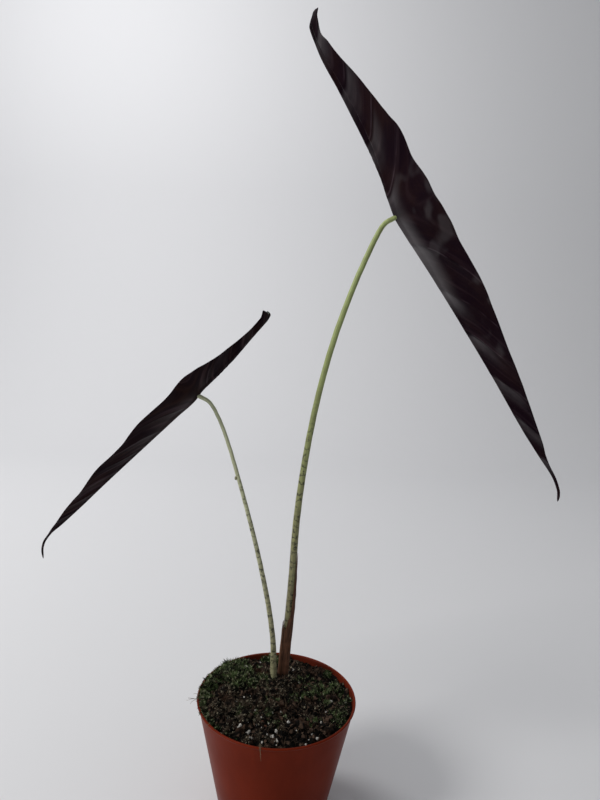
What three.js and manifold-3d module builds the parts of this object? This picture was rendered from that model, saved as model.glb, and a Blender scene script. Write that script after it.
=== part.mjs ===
// Potted alocasia longiloba: two folded, arrow-shaped leaves on slender petioles, rooted in a
// peat-filled nursery pot. Millimetres, +Z up. The origin is the centre of the pot's underside.
import * as THREE from 'three';
import { mergeVertices } from 'three/addons/utils/BufferGeometryUtils.js';
import Module from 'manifold-3d';

const wasm = await Module();
wasm.setup();

// Clearance between pieces that touch
const GAP = 0.3;

// Pot: a tapered, thin-walled 12 cm nursery pot with a slim rolled lip
const POT_HEIGHT = 92;
const POT_RIM_RADIUS = 60;
const POT_WALL_TOP_RADIUS = 58.6;
const POT_BASE_RADIUS = 40;
const POT_WALL = 1.2;
const POT_LIP_HEIGHT = 3.2;
// Lip section above its foot: how far inside the rim radius, and how high
const POT_LIP_SECTION = [[0.2, 0.9], [0, 2], [0.6, POT_LIP_HEIGHT], [1.9, POT_LIP_HEIGHT]];
const POT_LIP_INSIDE_FOOT = 1.2;
const POT_FLOOR = 2.6;
const POT_FOOT_CHAMFER = 1.5;
const POT_RECESS_INNER = 13;
const POT_RECESS_OUTER = 33;
const POT_RECESS_RISE = 2.2;
const POT_SEGMENTS = 56;
const DRAIN_HOLES = 8;
const DRAIN_HOLE_RADIUS = 3.4;
const DRAIN_HOLE_SIDES = 16;
const DRAIN_RING_RADIUS = 24;

// Soil: peat packed to the lip on the left and front, lower at the back right
const SOIL_RINGS = 13;
const SOIL_FRONT_DROP = 1.8;
const SOIL_BACK_DROP = 7.2;
const SOIL_FALL_DIRECTION = THREE.MathUtils.degToRad(42);
// Where the fall begins and ends, as a share of the pot's radius from its centre
const SOIL_FALL_START = -0.1;
const SOIL_FALL_END = 0.95;
const SOIL_CLOD_COUNT = 46;
const SOIL_CLOD_LOWEST = -0.8;
const SOIL_CLOD_HIGHEST = 1.4;
const SOIL_CLOD_NARROWEST = 3.3;
const SOIL_CLOD_WIDEST = 7.7;
const SOIL_SEED = 20417;
// Each mound: centre x, centre y, height and spread
const SOIL_MOUNDS = [
  [1, 20, 4.6, 13],
  [5, -6, 3.2, 8],
  [-34, 30, 3.4, 15],
  [-46, 6, 1.6, 12],
];

// Rootstock: a short upright rhizome under the soil, with fleshy roots
const RHIZOME_CENTRE = [0.2, 21.5];
const RHIZOME_TOP = POT_HEIGHT - 10;
// Rhizome profile: radius and depth below its top
const RHIZOME_PROFILE = [[8.4, 0], [9.8, 4], [9.2, 13], [6, 24], [2.5, 30]];
const RHIZOME_SIDES = 20;
const ROOT_COUNT = 7;
const ROOT_SIDES = 6;
const ROOT_STEPS = 9;
const ROOT_RADIUS = 1.4;
const ROOT_TIP_RADIUS = 0.7;
const ROOT_SPREAD = 20;
const ROOT_DEPTH = 58;
const ROOT_START_DEPTH = 12;
const ROOT_START_RADIUS = 3;
const ROOT_FIRST_ANGLE = 0.3;
// How far a root swings round the rhizome for each millimetre that it goes down
const ROOT_SWING = 0.012;
const ROOT_SPREAD_VARIATION = 0.25;
const ROOT_DEPTH_VARIATION = 0.15;
// Each root's course: share of its spread and share of its depth
const ROOT_COURSE = [[0.55, 0.05], [1, 0.35], [0.9, 1]];

// Petioles: centre lines from the rootstock up to the blade, and radii along them
const STEM_FOOT = RHIZOME_TOP + GAP;
const STEM_SAMPLES = 400;
const PETIOLE_OVERRUN = 2.4;
const STEM_HOLE_SPARE_DEPTH = 2;
const PETIOLE_TALL = {
  sides: 10,
  steps: 34,
  path: [
    [3.2, 25.4, STEM_FOOT], [4.6, 25.2, 116], [6.3, 24.9, 143], [7.6, 24.7, 176], [8.7, 24.5, 216],
    [11.7, 24, 254], [16.4, 23.3, 292], [22.8, 22.2, 329], [31.3, 20.9, 365], [42.4, 19.1, 400.5],
    [51.6, 17.6, 424], [60.2, 16.2, 441.5], [67.6, 15, 450.8],
  ],
  radii: [3.4, 3.3, 3.1, 2.8, 2.6, 2.45, 2.3, 2.2, 2.15, 2.05, 2.0, 1.95, 2.1],
};
const PETIOLE_SHORT = {
  sides: 10,
  steps: 30,
  path: [
    [-3, 17.8, STEM_FOOT], [-4, 17.9, 107], [-5.2, 17.8, 126], [-9.4, 17.9, 152], [-15.2, 17.9, 178],
    [-21.5, 17.9, 203], [-28.9, 17.9, 229], [-36.2, 17.9, 253], [-44.2, 17.9, 278],
    [-51.6, 18, 297], [-59.4, 18, 310.5], [-67.4, 18, 315.3],
  ],
  radii: [2.9, 2.4, 2.05, 1.9, 1.8, 1.7, 1.6, 1.5, 1.4, 1.35, 1.35, 1.6],
};

// Dry sheath: the brown papery wing that clasps the foot of the tall petiole
const SHEATH = {
  thickness: 0.9,
  holeClearance: 1,
  foot: STEM_FOOT,
  steps: 18,
  around: 14,
  openingHalfAngle: 0.62,
  // The direction that the sheath's long tongue faces, as an angle from +X
  tongueAngle: THREE.MathUtils.degToRad(-28),
  tongueHalfWidth: 0.5,
  tongueTop: 196,
  shoulderTop: 140,
  backTop: 132,
  // The torn top edge: height of each tear, tears in a radian, and where they start
  tears: [[3, 5, 0], [2, 11, 1]],
};

// Blades: each is described along its own axis, from the lobe tips to the drawn-out apex.
// The lists pair a distance from the petiole's joint with a size there.
const BLADE_THICKNESS = 0.8;
// Places across a half: -1 is the middle of the blade, 0 the rib and 1 the margin
const BLADE_ACROSS = [-1, -0.5, 0, 0.12, 0.3, 0.5, 0.7, 0.86, 1];
// A half lies flat at its rib and then turns up, within this share of its width
const OUTER_ROUNDING = 0.28;
const INNER_ROUNDING = 0.12;
const INNER_FOLD = THREE.MathUtils.degToRad(48);
// The thickness is set off along the blade's upper direction, so a steep half gets more
const STEEPEST_HALF = 0.5;
const SINUS_ROUNDING = 0.6;
// The lobes have ribs of their own, which part from each other behind the joint. The part
// inside a rib is this wide at the joint, and reaches this share of the width in the lobes.
const MIDRIB_HALF_WIDTH = 0.8;
const LOBE_INNER_SHARE = 0.3;
const LOBE_RIB_PARTED = 0.55;
// The relief dies away over these lengths at the lobe tips and the apex
const LOBE_FADE = 40;
const APEX_FADE = 60;
const WAVE_OFFSET = 1.9;
const VEIN_BEND = 1.3;
// Between two veins the surface swells highest nearer the joint
const SWELL_ACROSS = 0.8;
const SWELL_ALONG = 0.7;
const RIB_LEAST = 0.15;
const RIB_HALF_WIDTH = 1.9;
const RIB_HALF_WIDTH_LEAST = 0.4;
const RIB_WIDENING = 0.06;
const BLADE_TALL = {
  joint: [67.6, 15, 450.8],
  azimuth: THREE.MathUtils.degToRad(8),
  droop: THREE.MathUtils.degToRad(57.8),
  rows: 52,
  sinus: -46,
  sinusSpread: 2.6,
  keel: [
    [-144, 14.8], [-138, 9.9], [-130, 8.7], [-118, 8.1], [-94, 9.6], [-60, 10.1], [-30, 7.7],
    [-10, 4.2], [2, 2.7], [14, 3.6], [30, 5.3], [55, 7.8], [98, 11.2], [142, 14.1], [187, 16.1],
    [215, 18.3], [235, 20], [246, 18.7], [255, 14.4],
  ],
  halfWidth: [
    [-144, 4.4], [-138, 4.5], [-129, 3.7], [-121, 6.6], [-106, 9.6], [-83, 15.2], [-60, 22.5],
    [-45, 28], [-30, 29.1], [-8, 39.7], [8, 42.4], [18, 41.5], [38, 37.6], [61, 37.8], [94, 30.7],
    [128, 25], [155, 18.9], [184, 13.5], [204, 8.1], [216, 4.1], [230, 1.9], [255, 1.3],
  ],
  fold: [[-144, 30], [-110, 44], [-60, 54], [0, 57], [150, 55], [210, 42], [255, 28]],
  // How far a side vein runs along the blade for each millimetre across it
  slant: [
    [-144, -1.5], [-60, -1.3], [-15, -0.9], [5, 0.3], [20, 0.75], [80, 1.35], [140, 1.7], [255, 1.9],
  ],
  firstVein: 22,
  veinSpacing: 38,
  wave: 0.9,
  waveLength: 61,
  quilt: 1.1,
  rib: 1.5,
};
const BLADE_SHORT = {
  joint: [-67.4, 18, 315.3],
  azimuth: THREE.MathUtils.degToRad(172),
  droop: THREE.MathUtils.degToRad(48.1),
  rows: 44,
  sinus: -30,
  sinusSpread: 2,
  keel: [
    [-81, 4.7], [-75, 3.4], [-62, 3.2], [-45, 2.7], [-25, 2.6], [-6, 3.1], [6, 1.9], [23, 3.2],
    [45, 4.5], [73, 6.1], [107, 7.9], [137, 9.1], [155, 10.1], [167, 11.2], [175, 10.3], [181, 7.8],
    [188, 1.4],
  ],
  halfWidth: [
    [-81, 5.5], [-74, 4], [-67, 4.6], [-52, 6.7], [-42, 9.9], [-33, 14.2], [-19, 22.2], [-5, 25.5],
    [5, 26.4], [21, 26.6], [40, 25.1], [60, 21.5], [77, 20], [94, 18.3], [106, 16.2], [126, 11.6],
    [146, 7.2], [159, 4], [170, 1.2], [188, 1.1],
  ],
  fold: [[-81, 30], [-62, 42], [-34, 53], [0, 56], [110, 54], [155, 40], [188, 28]],
  slant: [[-81, -1.5], [-40, -1.3], [-10, -0.9], [5, 0.3], [15, 0.8], [60, 1.7], [110, 2.1], [188, 2.2]],
  firstVein: 14,
  veinSpacing: 25,
  wave: 0.8,
  waveLength: 47,
  quilt: 0.8,
  rib: 1.2,
};

// Finishes, as seen on the plant
const FINISHES = {
  terracottaPlastic: { color: 0x9c4f35, roughness: 0.42, metalness: 0 },
  peat: { color: 0x1c1813, roughness: 1, metalness: 0 },
  rootstock: { color: 0xb59c74, roughness: 0.85, metalness: 0 },
  stemGreen: { color: 0x7f8c56, roughness: 0.5, metalness: 0 },
  stemPale: { color: 0xa0a37c, roughness: 0.5, metalness: 0 },
  drySheath: { color: 0x4a3222, roughness: 0.9, metalness: 0 },
  bladePurple: { color: 0x241b1f, roughness: 0.38, metalness: 0 },
};

function finish(name) {
  return new THREE.MeshStandardMaterial({ name, side: THREE.FrontSide, ...FINISHES[name] });
}

// Repeatable random numbers between 0 and 1
function seededRandom(seed) {
  let state = seed;
  return () => {
    state = (state * 1664525 + 1013904223) % 4294967296;
    return state / 4294967296;
  };
}

// A smooth value at a distance along a list of [distance, value] pairs. The slope at each
// pair is limited so that the curve never overshoots its neighbours.
function along(pairs, distance) {
  const last = pairs.length - 1;
  if (distance <= pairs[0][0]) return pairs[0][1];
  if (distance >= pairs[last][0]) return pairs[last][1];
  const i = pairs.findIndex(([end], k) => k > 0 && distance <= end) - 1;
  const rise = (k) => (pairs[k + 1][1] - pairs[k][1]) / (pairs[k + 1][0] - pairs[k][0]);
  const slope = (k) => {
    if (k === 0) return rise(0);
    if (k === last) return rise(last - 1);
    const before = rise(k - 1);
    const after = rise(k);
    return before * after <= 0 ? 0 : (2 * before * after) / (before + after);
  };
  const span = pairs[i + 1][0] - pairs[i][0];
  const s = (distance - pairs[i][0]) / span;
  const startWeight = (1 + 2 * s) * (1 - s) ** 2;
  const endWeight = s * s * (3 - 2 * s);
  const startSlope = s * (1 - s) ** 2 * span;
  const endSlope = s * s * (s - 1) * span;
  return startWeight * pairs[i][1] + endWeight * pairs[i + 1][1]
    + startSlope * slope(i) + endSlope * slope(i + 1);
}

// Closes a geometry: only position is kept, shared corners are merged, and faces that
// have shrunk to a line are dropped.
function closed(geometry) {
  const bare = new THREE.BufferGeometry();
  bare.setAttribute('position', geometry.getAttribute('position').clone());
  if (geometry.index) bare.setIndex(geometry.index.clone());
  const merged = mergeVertices(bare, 1e-4);
  const faces = [];
  const index = merged.index.array;
  for (let i = 0; i < index.length; i += 3) {
    const [a, b, c] = [index[i], index[i + 1], index[i + 2]];
    if (a !== b && b !== c && c !== a) faces.push(a, b, c);
  }
  merged.setIndex(faces);
  return merged;
}

// A geometry as a solid for joining and cutting, and back again
function solid(geometry) {
  const shape = closed(geometry);
  return new wasm.Manifold(new wasm.Mesh({
    numProp: 3,
    vertProperties: new Float32Array(shape.getAttribute('position').array),
    triVerts: new Uint32Array(shape.index.array),
  }));
}

function geometryOf(manifold) {
  const mesh = manifold.getMesh();
  const geometry = new THREE.BufferGeometry();
  geometry.setAttribute('position', new THREE.BufferAttribute(Float32Array.from(mesh.vertProperties), 3));
  geometry.setIndex(Array.from(mesh.triVerts));
  return geometry;
}

// A lathed form about +Z, from [radius, height] pairs that run up the outside
function turned(profile, segments) {
  const points = profile.map(([radius, height]) => new THREE.Vector2(radius, height));
  const geometry = new THREE.LatheGeometry(points, segments);
  geometry.rotateX(Math.PI / 2);
  return geometry;
}

// A round stem along a smooth path. A cylinder's rings are laid along the curve, each with
// the radius that the stem has there. overrun carries its end on past the last point.
function stem({ path, radii, sides, steps }, grow = 0, overrun = 0) {
  const curve = new THREE.CatmullRomCurve3(path.map((p) => new THREE.Vector3(...p)));
  curve.arcLengthDivisions = STEM_SAMPLES;
  const frames = curve.computeFrenetFrames(steps);
  const geometry = new THREE.CylinderGeometry(1, 1, 1, sides, steps);
  const position = geometry.getAttribute('position');
  const radiusAt = radii.map((radius, i) => [i / (radii.length - 1), radius]);
  for (let i = 0; i < position.count; i += 1) {
    const step = Math.round((position.getY(i) + 0.5) * steps);
    const s = step / steps;
    const radius = along(radiusAt, curve.getUtoTmapping(s)) + grow;
    const point = curve.getPointAt(s);
    if (step === steps) point.addScaledVector(frames.tangents[step], overrun);
    point.addScaledVector(frames.normals[step], position.getX(i) * radius);
    point.addScaledVector(frames.binormals[step], -position.getZ(i) * radius);
    position.setXYZ(i, point.x, point.y, point.z);
  }
  return geometry;
}

// Outer radius of the pot's wall at a height
function potRadius(height) {
  const slope = (POT_WALL_TOP_RADIUS - POT_BASE_RADIUS) / (POT_HEIGHT - POT_LIP_HEIGHT);
  return POT_BASE_RADIUS + slope * height;
}

function makePot() {
  const floorTop = POT_RECESS_RISE + POT_FLOOR;
  const lipFoot = POT_HEIGHT - POT_LIP_HEIGHT;
  const profile = [
    [0, 0],
    [POT_RECESS_INNER, 0],
    [POT_RECESS_INNER + POT_RECESS_RISE, POT_RECESS_RISE],
    [POT_RECESS_OUTER - POT_RECESS_RISE, POT_RECESS_RISE],
    [POT_RECESS_OUTER, 0],
    [POT_BASE_RADIUS - POT_FOOT_CHAMFER, 0],
    [potRadius(POT_FOOT_CHAMFER), POT_FOOT_CHAMFER],
    [potRadius(lipFoot), lipFoot],
    ...POT_LIP_SECTION.map(([inside, rise]) => [POT_RIM_RADIUS - inside, lipFoot + rise]),
    [potRadius(lipFoot) - POT_WALL, lipFoot + POT_LIP_INSIDE_FOOT],
    [potRadius(floorTop) - POT_WALL, floorTop],
    [0, floorTop],
  ];
  let pot = solid(turned(profile, POT_SEGMENTS));
  const radius = DRAIN_HOLE_RADIUS;
  for (let i = 0; i < DRAIN_HOLES; i += 1) {
    const angle = (2 * Math.PI * (i + 0.5)) / DRAIN_HOLES;
    const drill = new THREE.CylinderGeometry(radius, radius, 4 * POT_FLOOR, DRAIN_HOLE_SIDES);
    drill.rotateX(Math.PI / 2);
    drill.translate(DRAIN_RING_RADIUS * Math.cos(angle), DRAIN_RING_RADIUS * Math.sin(angle), POT_FLOOR);
    pot = pot.subtract(solid(drill));
  }
  return geometryOf(pot);
}

// Height of the soil's surface, lumpy with clods and mounds
function soilSurface() {
  const random = seededRandom(SOIL_SEED);
  const reach = potRadius(POT_HEIGHT);
  const clods = Array.from({ length: SOIL_CLOD_COUNT }, () => {
    const radius = reach * Math.sqrt(random());
    const angle = 2 * Math.PI * random();
    const height = THREE.MathUtils.lerp(SOIL_CLOD_LOWEST, SOIL_CLOD_HIGHEST, random());
    const spread = THREE.MathUtils.lerp(SOIL_CLOD_NARROWEST, SOIL_CLOD_WIDEST, random());
    return [radius * Math.cos(angle), radius * Math.sin(angle), height, spread];
  });
  const bumps = SOIL_MOUNDS.concat(clods);
  return (x, y) => {
    const across = (x * Math.cos(SOIL_FALL_DIRECTION) + y * Math.sin(SOIL_FALL_DIRECTION)) / reach;
    const fall = THREE.MathUtils.smoothstep(across, SOIL_FALL_START, SOIL_FALL_END);
    let height = POT_HEIGHT - SOIL_FRONT_DROP - (SOIL_BACK_DROP - SOIL_FRONT_DROP) * fall;
    for (const [bumpX, bumpY, rise, spread] of bumps) {
      const away = ((x - bumpX) ** 2 + (y - bumpY) ** 2) / (2 * spread ** 2);
      height += rise * Math.exp(-away);
    }
    return height;
  };
}

function makeSoil() {
  const floorTop = POT_RECESS_RISE + POT_FLOOR;
  const inner = (height) => potRadius(height) - POT_WALL - GAP;
  const surface = soilSurface();
  const edgeHeight = POT_HEIGHT - POT_LIP_HEIGHT;
  const edge = inner(edgeHeight);
  const profile = [[0, floorTop + GAP], [inner(floorTop + GAP), floorTop + GAP], [edge, edgeHeight]];
  for (let ring = 1; ring <= SOIL_RINGS; ring += 1) {
    profile.push([edge * (1 - ring / SOIL_RINGS), POT_HEIGHT]);
  }
  const body = turned(profile, POT_SEGMENTS);
  const position = body.getAttribute('position');
  for (let i = 0; i < position.count; i += 1) {
    if (position.getZ(i) === POT_HEIGHT) {
      position.setZ(i, surface(position.getX(i), position.getY(i)));
    }
  }
  // The hollow that the rootstock fills, and plain holes where the stems come out
  let soil = solid(body);
  soil = soil.subtract(makeRhizomeSolid(GAP));
  soil = soil.subtract(solid(stem(stemFoot(PETIOLE_SHORT), GAP)));
  soil = soil.subtract(solid(stem(stemFoot(PETIOLE_TALL), SHEATH.thickness + SHEATH.holeClearance)));
  return geometryOf(soil);
}

// The lowest stretch of a petiole, a little longer below its foot and rounder, to cut its hole
function stemFoot({ path, radii, sides }) {
  const [x, y, z] = path[0];
  return {
    path: [[x, y, z - STEM_HOLE_SPARE_DEPTH], path[0], path[1]],
    radii: [radii[0], radii[0], radii[1]],
    sides: 2 * sides,
    steps: 4,
  };
}

// The rhizome with its roots, grown outwards by a clearance when it cuts the soil
function makeRhizomeSolid(grow) {
  const [centreX, centreY] = RHIZOME_CENTRE;
  const depth = RHIZOME_PROFILE[RHIZOME_PROFILE.length - 1][1];
  const profile = [[0, RHIZOME_TOP - depth - grow]];
  for (const [radius, down] of RHIZOME_PROFILE.toReversed()) {
    const spread = down === 0 ? grow : 0;
    const sink = down === depth ? grow : 0;
    profile.push([radius + grow, RHIZOME_TOP - down + spread - sink]);
  }
  profile.push([0, RHIZOME_TOP + grow]);
  const body = turned(profile, RHIZOME_SIDES);
  body.translate(centreX, centreY, 0);
  let rhizome = solid(body);
  for (let i = 0; i < ROOT_COUNT; i += 1) {
    const angle = (2 * Math.PI * i) / ROOT_COUNT + ROOT_FIRST_ANGLE;
    const lean = ROOT_SPREAD * (1 - ROOT_SPREAD_VARIATION * (1 - Math.sin(3 * i)));
    const drop = ROOT_DEPTH * (1 - ROOT_DEPTH_VARIATION * (1 - Math.cos(2 * i)));
    const at = (out, down) => [
      centreX + out * Math.cos(angle + ROOT_SWING * down),
      centreY + out * Math.sin(angle + ROOT_SWING * down),
      RHIZOME_TOP - ROOT_START_DEPTH - down,
    ];
    const course = ROOT_COURSE.map(([out, down]) => at(out * lean, down * drop + (down === 1 ? grow : 0)));
    const root = {
      path: [at(ROOT_START_RADIUS, 0), ...course],
      radii: [ROOT_RADIUS, ROOT_RADIUS, 0.5 * (ROOT_RADIUS + ROOT_TIP_RADIUS), ROOT_TIP_RADIUS],
      sides: ROOT_SIDES,
      steps: ROOT_STEPS,
    };
    rhizome = rhizome.add(solid(stem(root, grow)));
  }
  return rhizome;
}

// A half of a blade in section, at a distance from its rib: how far across and how high it is
// there, and which way it runs.
function section(distance, width, fold, rounding) {
  const bend = rounding * width;
  const reach = Math.hypot(distance, bend);
  const flat = Math.exp(-distance / bend);
  const steep = Math.sin(fold);
  return {
    across: distance * steep + (1 - steep) * bend * (1 - flat),
    height: Math.cos(fold) * (reach - bend),
    run: new THREE.Vector2(steep + (1 - steep) * flat, (Math.cos(fold) * distance) / reach).normalize(),
  };
}

// A blade's two halves lie flat at the midrib and then fold up. Behind the joint the midrib
// parts into the two ribs of the lobes, and the strip inside each rib folds up as well. The
// veins quilt the halves, and the margin waves. The surface is given the same thickness above
// and below, so both faces have the same triangles, and the rib stands out of the underside.
function makeBlade(blade, grow = 0) {
  const up = new THREE.Vector3(0, 0, 1);
  const level = new THREE.Vector3(Math.cos(blade.azimuth), Math.sin(blade.azimuth), 0);
  const lateral = new THREE.Vector3().crossVectors(up, level);
  const axis = level.clone().applyAxisAngle(lateral, blade.droop);
  const upper = up.clone().applyAxisAngle(lateral, blade.droop);
  const joint = new THREE.Vector3(...blade.joint);
  const lobeTip = blade.keel[0][0];
  const apex = blade.keel[blade.keel.length - 1][0];
  const sinusRow = Math.round(((blade.sinus - lobeTip) / (apex - lobeTip)) * blade.rows);

  const middle = [];
  const lift = [];
  const ribs = [];
  const numbers = new Map();
  for (const side of [1, -1]) {
    for (let row = 0; row <= blade.rows; row += 1) {
      const t = lobeTip + ((apex - lobeTip) * row) / blade.rows;
      const width = along(blade.halfWidth, t);
      const fold = THREE.MathUtils.degToRad(along(blade.fold, t));
      const slant = along(blade.slant, t);
      const free = Math.max(0, (sinusRow - row) / sinusRow);
      const parted = THREE.MathUtils.smoothstep(-t / (LOBE_RIB_PARTED * Math.abs(lobeTip)), 0, 1);
      const inner = Math.min(MIDRIB_HALF_WIDTH, LOBE_INNER_SHARE * width) + LOBE_INNER_SHARE * width * parted;
      const innerAcross = section(inner, width, INNER_FOLD, INNER_ROUNDING).across;
      const ribAcross = blade.sinusSpread * free ** SINUS_ROUNDING + innerAcross;
      const ends = Math.max(0, Math.min(1, (t - lobeTip) / LOBE_FADE, (apex - t) / APEX_FADE));
      const rib = RIB_LEAST + blade.rib * ends * (1 - Math.abs(t) / (apex - lobeTip));
      const ribHalfWidth = Math.min(RIB_HALF_WIDTH, RIB_HALF_WIDTH_LEAST + RIB_WIDENING * width);
      for (let column = 0; column < BLADE_ACROSS.length; column += 1) {
        const shared = side === -1 && column === 0 && row >= sinusRow;
        if (shared) {
          numbers.set(`${side} ${row} 0`, numbers.get(`1 ${row} 0`));
          continue;
        }
        const v = BLADE_ACROSS[column];
        const outside = v > 0 ? 1 : -1;
        const panel = Math.abs(v);
        const reach = v > 0 ? width : inner;
        const part = v > 0
          ? section(panel * width, width, fold, OUTER_ROUNDING)
          : section(panel * inner, width, INNER_FOLD, INNER_ROUNDING);
        const vein = (t - slant * reach * panel ** VEIN_BEND - blade.firstVein) / blade.veinSpacing;
        const between = THREE.MathUtils.euclideanModulo(vein, 1);
        const swellAlong = Math.sin(Math.PI * between ** SWELL_ALONG);
        const swell = blade.quilt * ends * Math.sin(Math.PI * panel ** SWELL_ACROSS) * swellAlong;
        const ripple = Math.sin((2 * Math.PI * t) / blade.waveLength + WAVE_OFFSET * side);
        const wave = v > 0 ? blade.wave * ends * v * v * ripple : 0;
        const rise = swell + wave;
        const across = ribAcross + outside * (part.across - rise * part.run.y);
        const height = along(blade.keel, t) + part.height + rise * part.run.x;
        const point = joint.clone().addScaledVector(axis, t);
        point.addScaledVector(upper, height).addScaledVector(lateral, side * across);
        numbers.set(`${side} ${row} ${column}`, middle.length);
        middle.push(point);
        lift.push(BLADE_THICKNESS / 2 / Math.max(STEEPEST_HALF, part.run.x) + grow);
        ribs.push(rib * Math.exp(-(((panel * reach) / ribHalfWidth) ** 2)));
      }
    }
  }

  const faces = [];
  for (const side of [1, -1]) {
    for (let row = 0; row < blade.rows; row += 1) {
      for (let column = 0; column < BLADE_ACROSS.length - 1; column += 1) {
        const corner = (r, c) => numbers.get(`${side} ${row + r} ${column + c}`);
        const [a, b, c, d] = [corner(0, 0), corner(1, 0), corner(1, 1), corner(0, 1)];
        if (side === 1) faces.push([a, b, c], [a, c, d]);
        else faces.push([a, c, b], [a, d, c]);
      }
    }
  }
  return thickened(middle, faces, upper, lift, ribs);
}

// A sheet as a closed solid: its points are moved up and down by lift, the lower ones by
// rib as well, and the open edges are walled.
function thickened(middle, faces, upper, lift, ribs) {
  const count = middle.length;
  const values = [];
  for (const [sign, below] of [[1, 0], [-1, 1]]) {
    middle.forEach((point, i) => {
      const moved = point.clone().addScaledVector(upper, sign * lift[i] - below * ribs[i]);
      values.push(moved.x, moved.y, moved.z);
    });
  }
  const index = [];
  const edges = new Map();
  for (const [a, b, c] of faces) {
    index.push(a, b, c, count + a, count + c, count + b);
    for (const [from, to] of [[a, b], [b, c], [c, a]]) {
      if (edges.has(`${to} ${from}`)) edges.delete(`${to} ${from}`);
      else edges.set(`${from} ${to}`, [from, to]);
    }
  }
  for (const [from, to] of edges.values()) {
    index.push(to, from, count + from, to, count + from, count + to);
  }
  const geometry = new THREE.BufferGeometry();
  geometry.setAttribute('position', new THREE.Float32BufferAttribute(values, 3));
  geometry.setIndex(index);
  return geometry;
}

// A petiole, seated on the underside of its blade
function makePetiole(petiole, blade) {
  const shaft = solid(stem(petiole, 0, PETIOLE_OVERRUN));
  return geometryOf(shaft.subtract(solid(makeBlade(blade, GAP))));
}

// The dry sheath wraps the petiole as an open cylinder with a ragged top, highest along its
// tongue. Its upper edge follows the petiole's own curve.
function makeSheath() {
  const curve = new THREE.CatmullRomCurve3(PETIOLE_TALL.path.map((p) => new THREE.Vector3(...p)));
  const samples = curve.getPoints(STEM_SAMPLES);
  const last = PETIOLE_TALL.radii.length - 1;
  const radiusAt = PETIOLE_TALL.radii.map((radius, i) => [i / last, radius]);
  const centre = (height) => {
    const found = samples.findIndex((p) => p.z >= height);
    const k = found < 0 ? samples.length - 1 : found;
    return { point: samples[k], radius: along(radiusAt, k / (samples.length - 1)) };
  };
  const topAt = (turn) => {
    const tongue = Math.exp(-((turn / SHEATH.tongueHalfWidth) ** 2));
    let side = THREE.MathUtils.lerp(SHEATH.shoulderTop, SHEATH.backTop, Math.abs(turn) / Math.PI);
    for (const [rise, often, start] of SHEATH.tears) side += rise * Math.sin(often * turn + start);
    return THREE.MathUtils.lerp(side, SHEATH.tongueTop, tongue);
  };
  const sweep = Math.PI - SHEATH.openingHalfAngle;
  const values = [];
  const rings = [0, SHEATH.thickness];
  const number = (layer, row, k) => (layer * (SHEATH.steps + 1) + row) * (SHEATH.around + 1) + k;
  for (const out of rings) {
    for (let row = 0; row <= SHEATH.steps; row += 1) {
      for (let k = 0; k <= SHEATH.around; k += 1) {
        const turn = -sweep + (2 * sweep * k) / SHEATH.around;
        const height = SHEATH.foot + ((topAt(turn) - SHEATH.foot) * row) / SHEATH.steps;
        const { point, radius } = centre(height);
        const angle = SHEATH.tongueAngle + turn;
        const reach = radius / Math.cos(Math.PI / PETIOLE_TALL.sides) + GAP + out;
        values.push(point.x + reach * Math.cos(angle), point.y + reach * Math.sin(angle), height);
      }
    }
  }
  const index = [];
  const quad = (a, b, c, d) => index.push(a, b, c, a, c, d);
  for (let row = 0; row < SHEATH.steps; row += 1) {
    for (let k = 0; k < SHEATH.around; k += 1) {
      quad(number(1, row, k), number(1, row, k + 1), number(1, row + 1, k + 1), number(1, row + 1, k));
      quad(number(0, row, k), number(0, row + 1, k), number(0, row + 1, k + 1), number(0, row, k + 1));
    }
    quad(number(0, row, 0), number(1, row, 0), number(1, row + 1, 0), number(0, row + 1, 0));
    const end = SHEATH.around;
    quad(number(1, row, end), number(0, row, end), number(0, row + 1, end), number(1, row + 1, end));
  }
  for (let k = 0; k < SHEATH.around; k += 1) {
    const top = SHEATH.steps;
    quad(number(1, top, k), number(1, top, k + 1), number(0, top, k + 1), number(0, top, k));
    quad(number(0, 0, k), number(0, 0, k + 1), number(1, 0, k + 1), number(1, 0, k));
  }
  const geometry = new THREE.BufferGeometry();
  geometry.setAttribute('position', new THREE.Float32BufferAttribute(values, 3));
  geometry.setIndex(index);
  return geometry;
}

const plant = new THREE.Group();

function addPiece(name, geometry, finishName) {
  const mesh = new THREE.Mesh(geometry, finish(finishName));
  mesh.name = name;
  plant.add(mesh);
}

addPiece('pot', makePot(), 'terracottaPlastic');
addPiece('soil', makeSoil(), 'peat');
addPiece('rhizome', geometryOf(makeRhizomeSolid(0)), 'rootstock');
addPiece('petiole_tall', makePetiole(PETIOLE_TALL, BLADE_TALL), 'stemGreen');
addPiece('petiole_short', makePetiole(PETIOLE_SHORT, BLADE_SHORT), 'stemPale');
addPiece('sheath_tall', makeSheath(), 'drySheath');
addPiece('leaf_tall', makeBlade(BLADE_TALL), 'bladePurple');
addPiece('leaf_short', makeBlade(BLADE_SHORT), 'bladePurple');

export default plant;
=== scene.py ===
"""Potted alocasia longiloba: folded blades, petioles, dry sheath, peat, moss and a nursery pot.

Every piece is in metres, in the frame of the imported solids. Lists of sizes are in millimetres
and are scaled by MM where they are used.
"""
import math
import random
from typing import NamedTuple

import bmesh
import bpy
import numpy as np
from bpy.props import FloatProperty, FloatVectorProperty, IntProperty, PointerProperty
from mathutils import Matrix, Vector, geometry, noise
from mathutils.bvhtree import BVHTree


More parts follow.
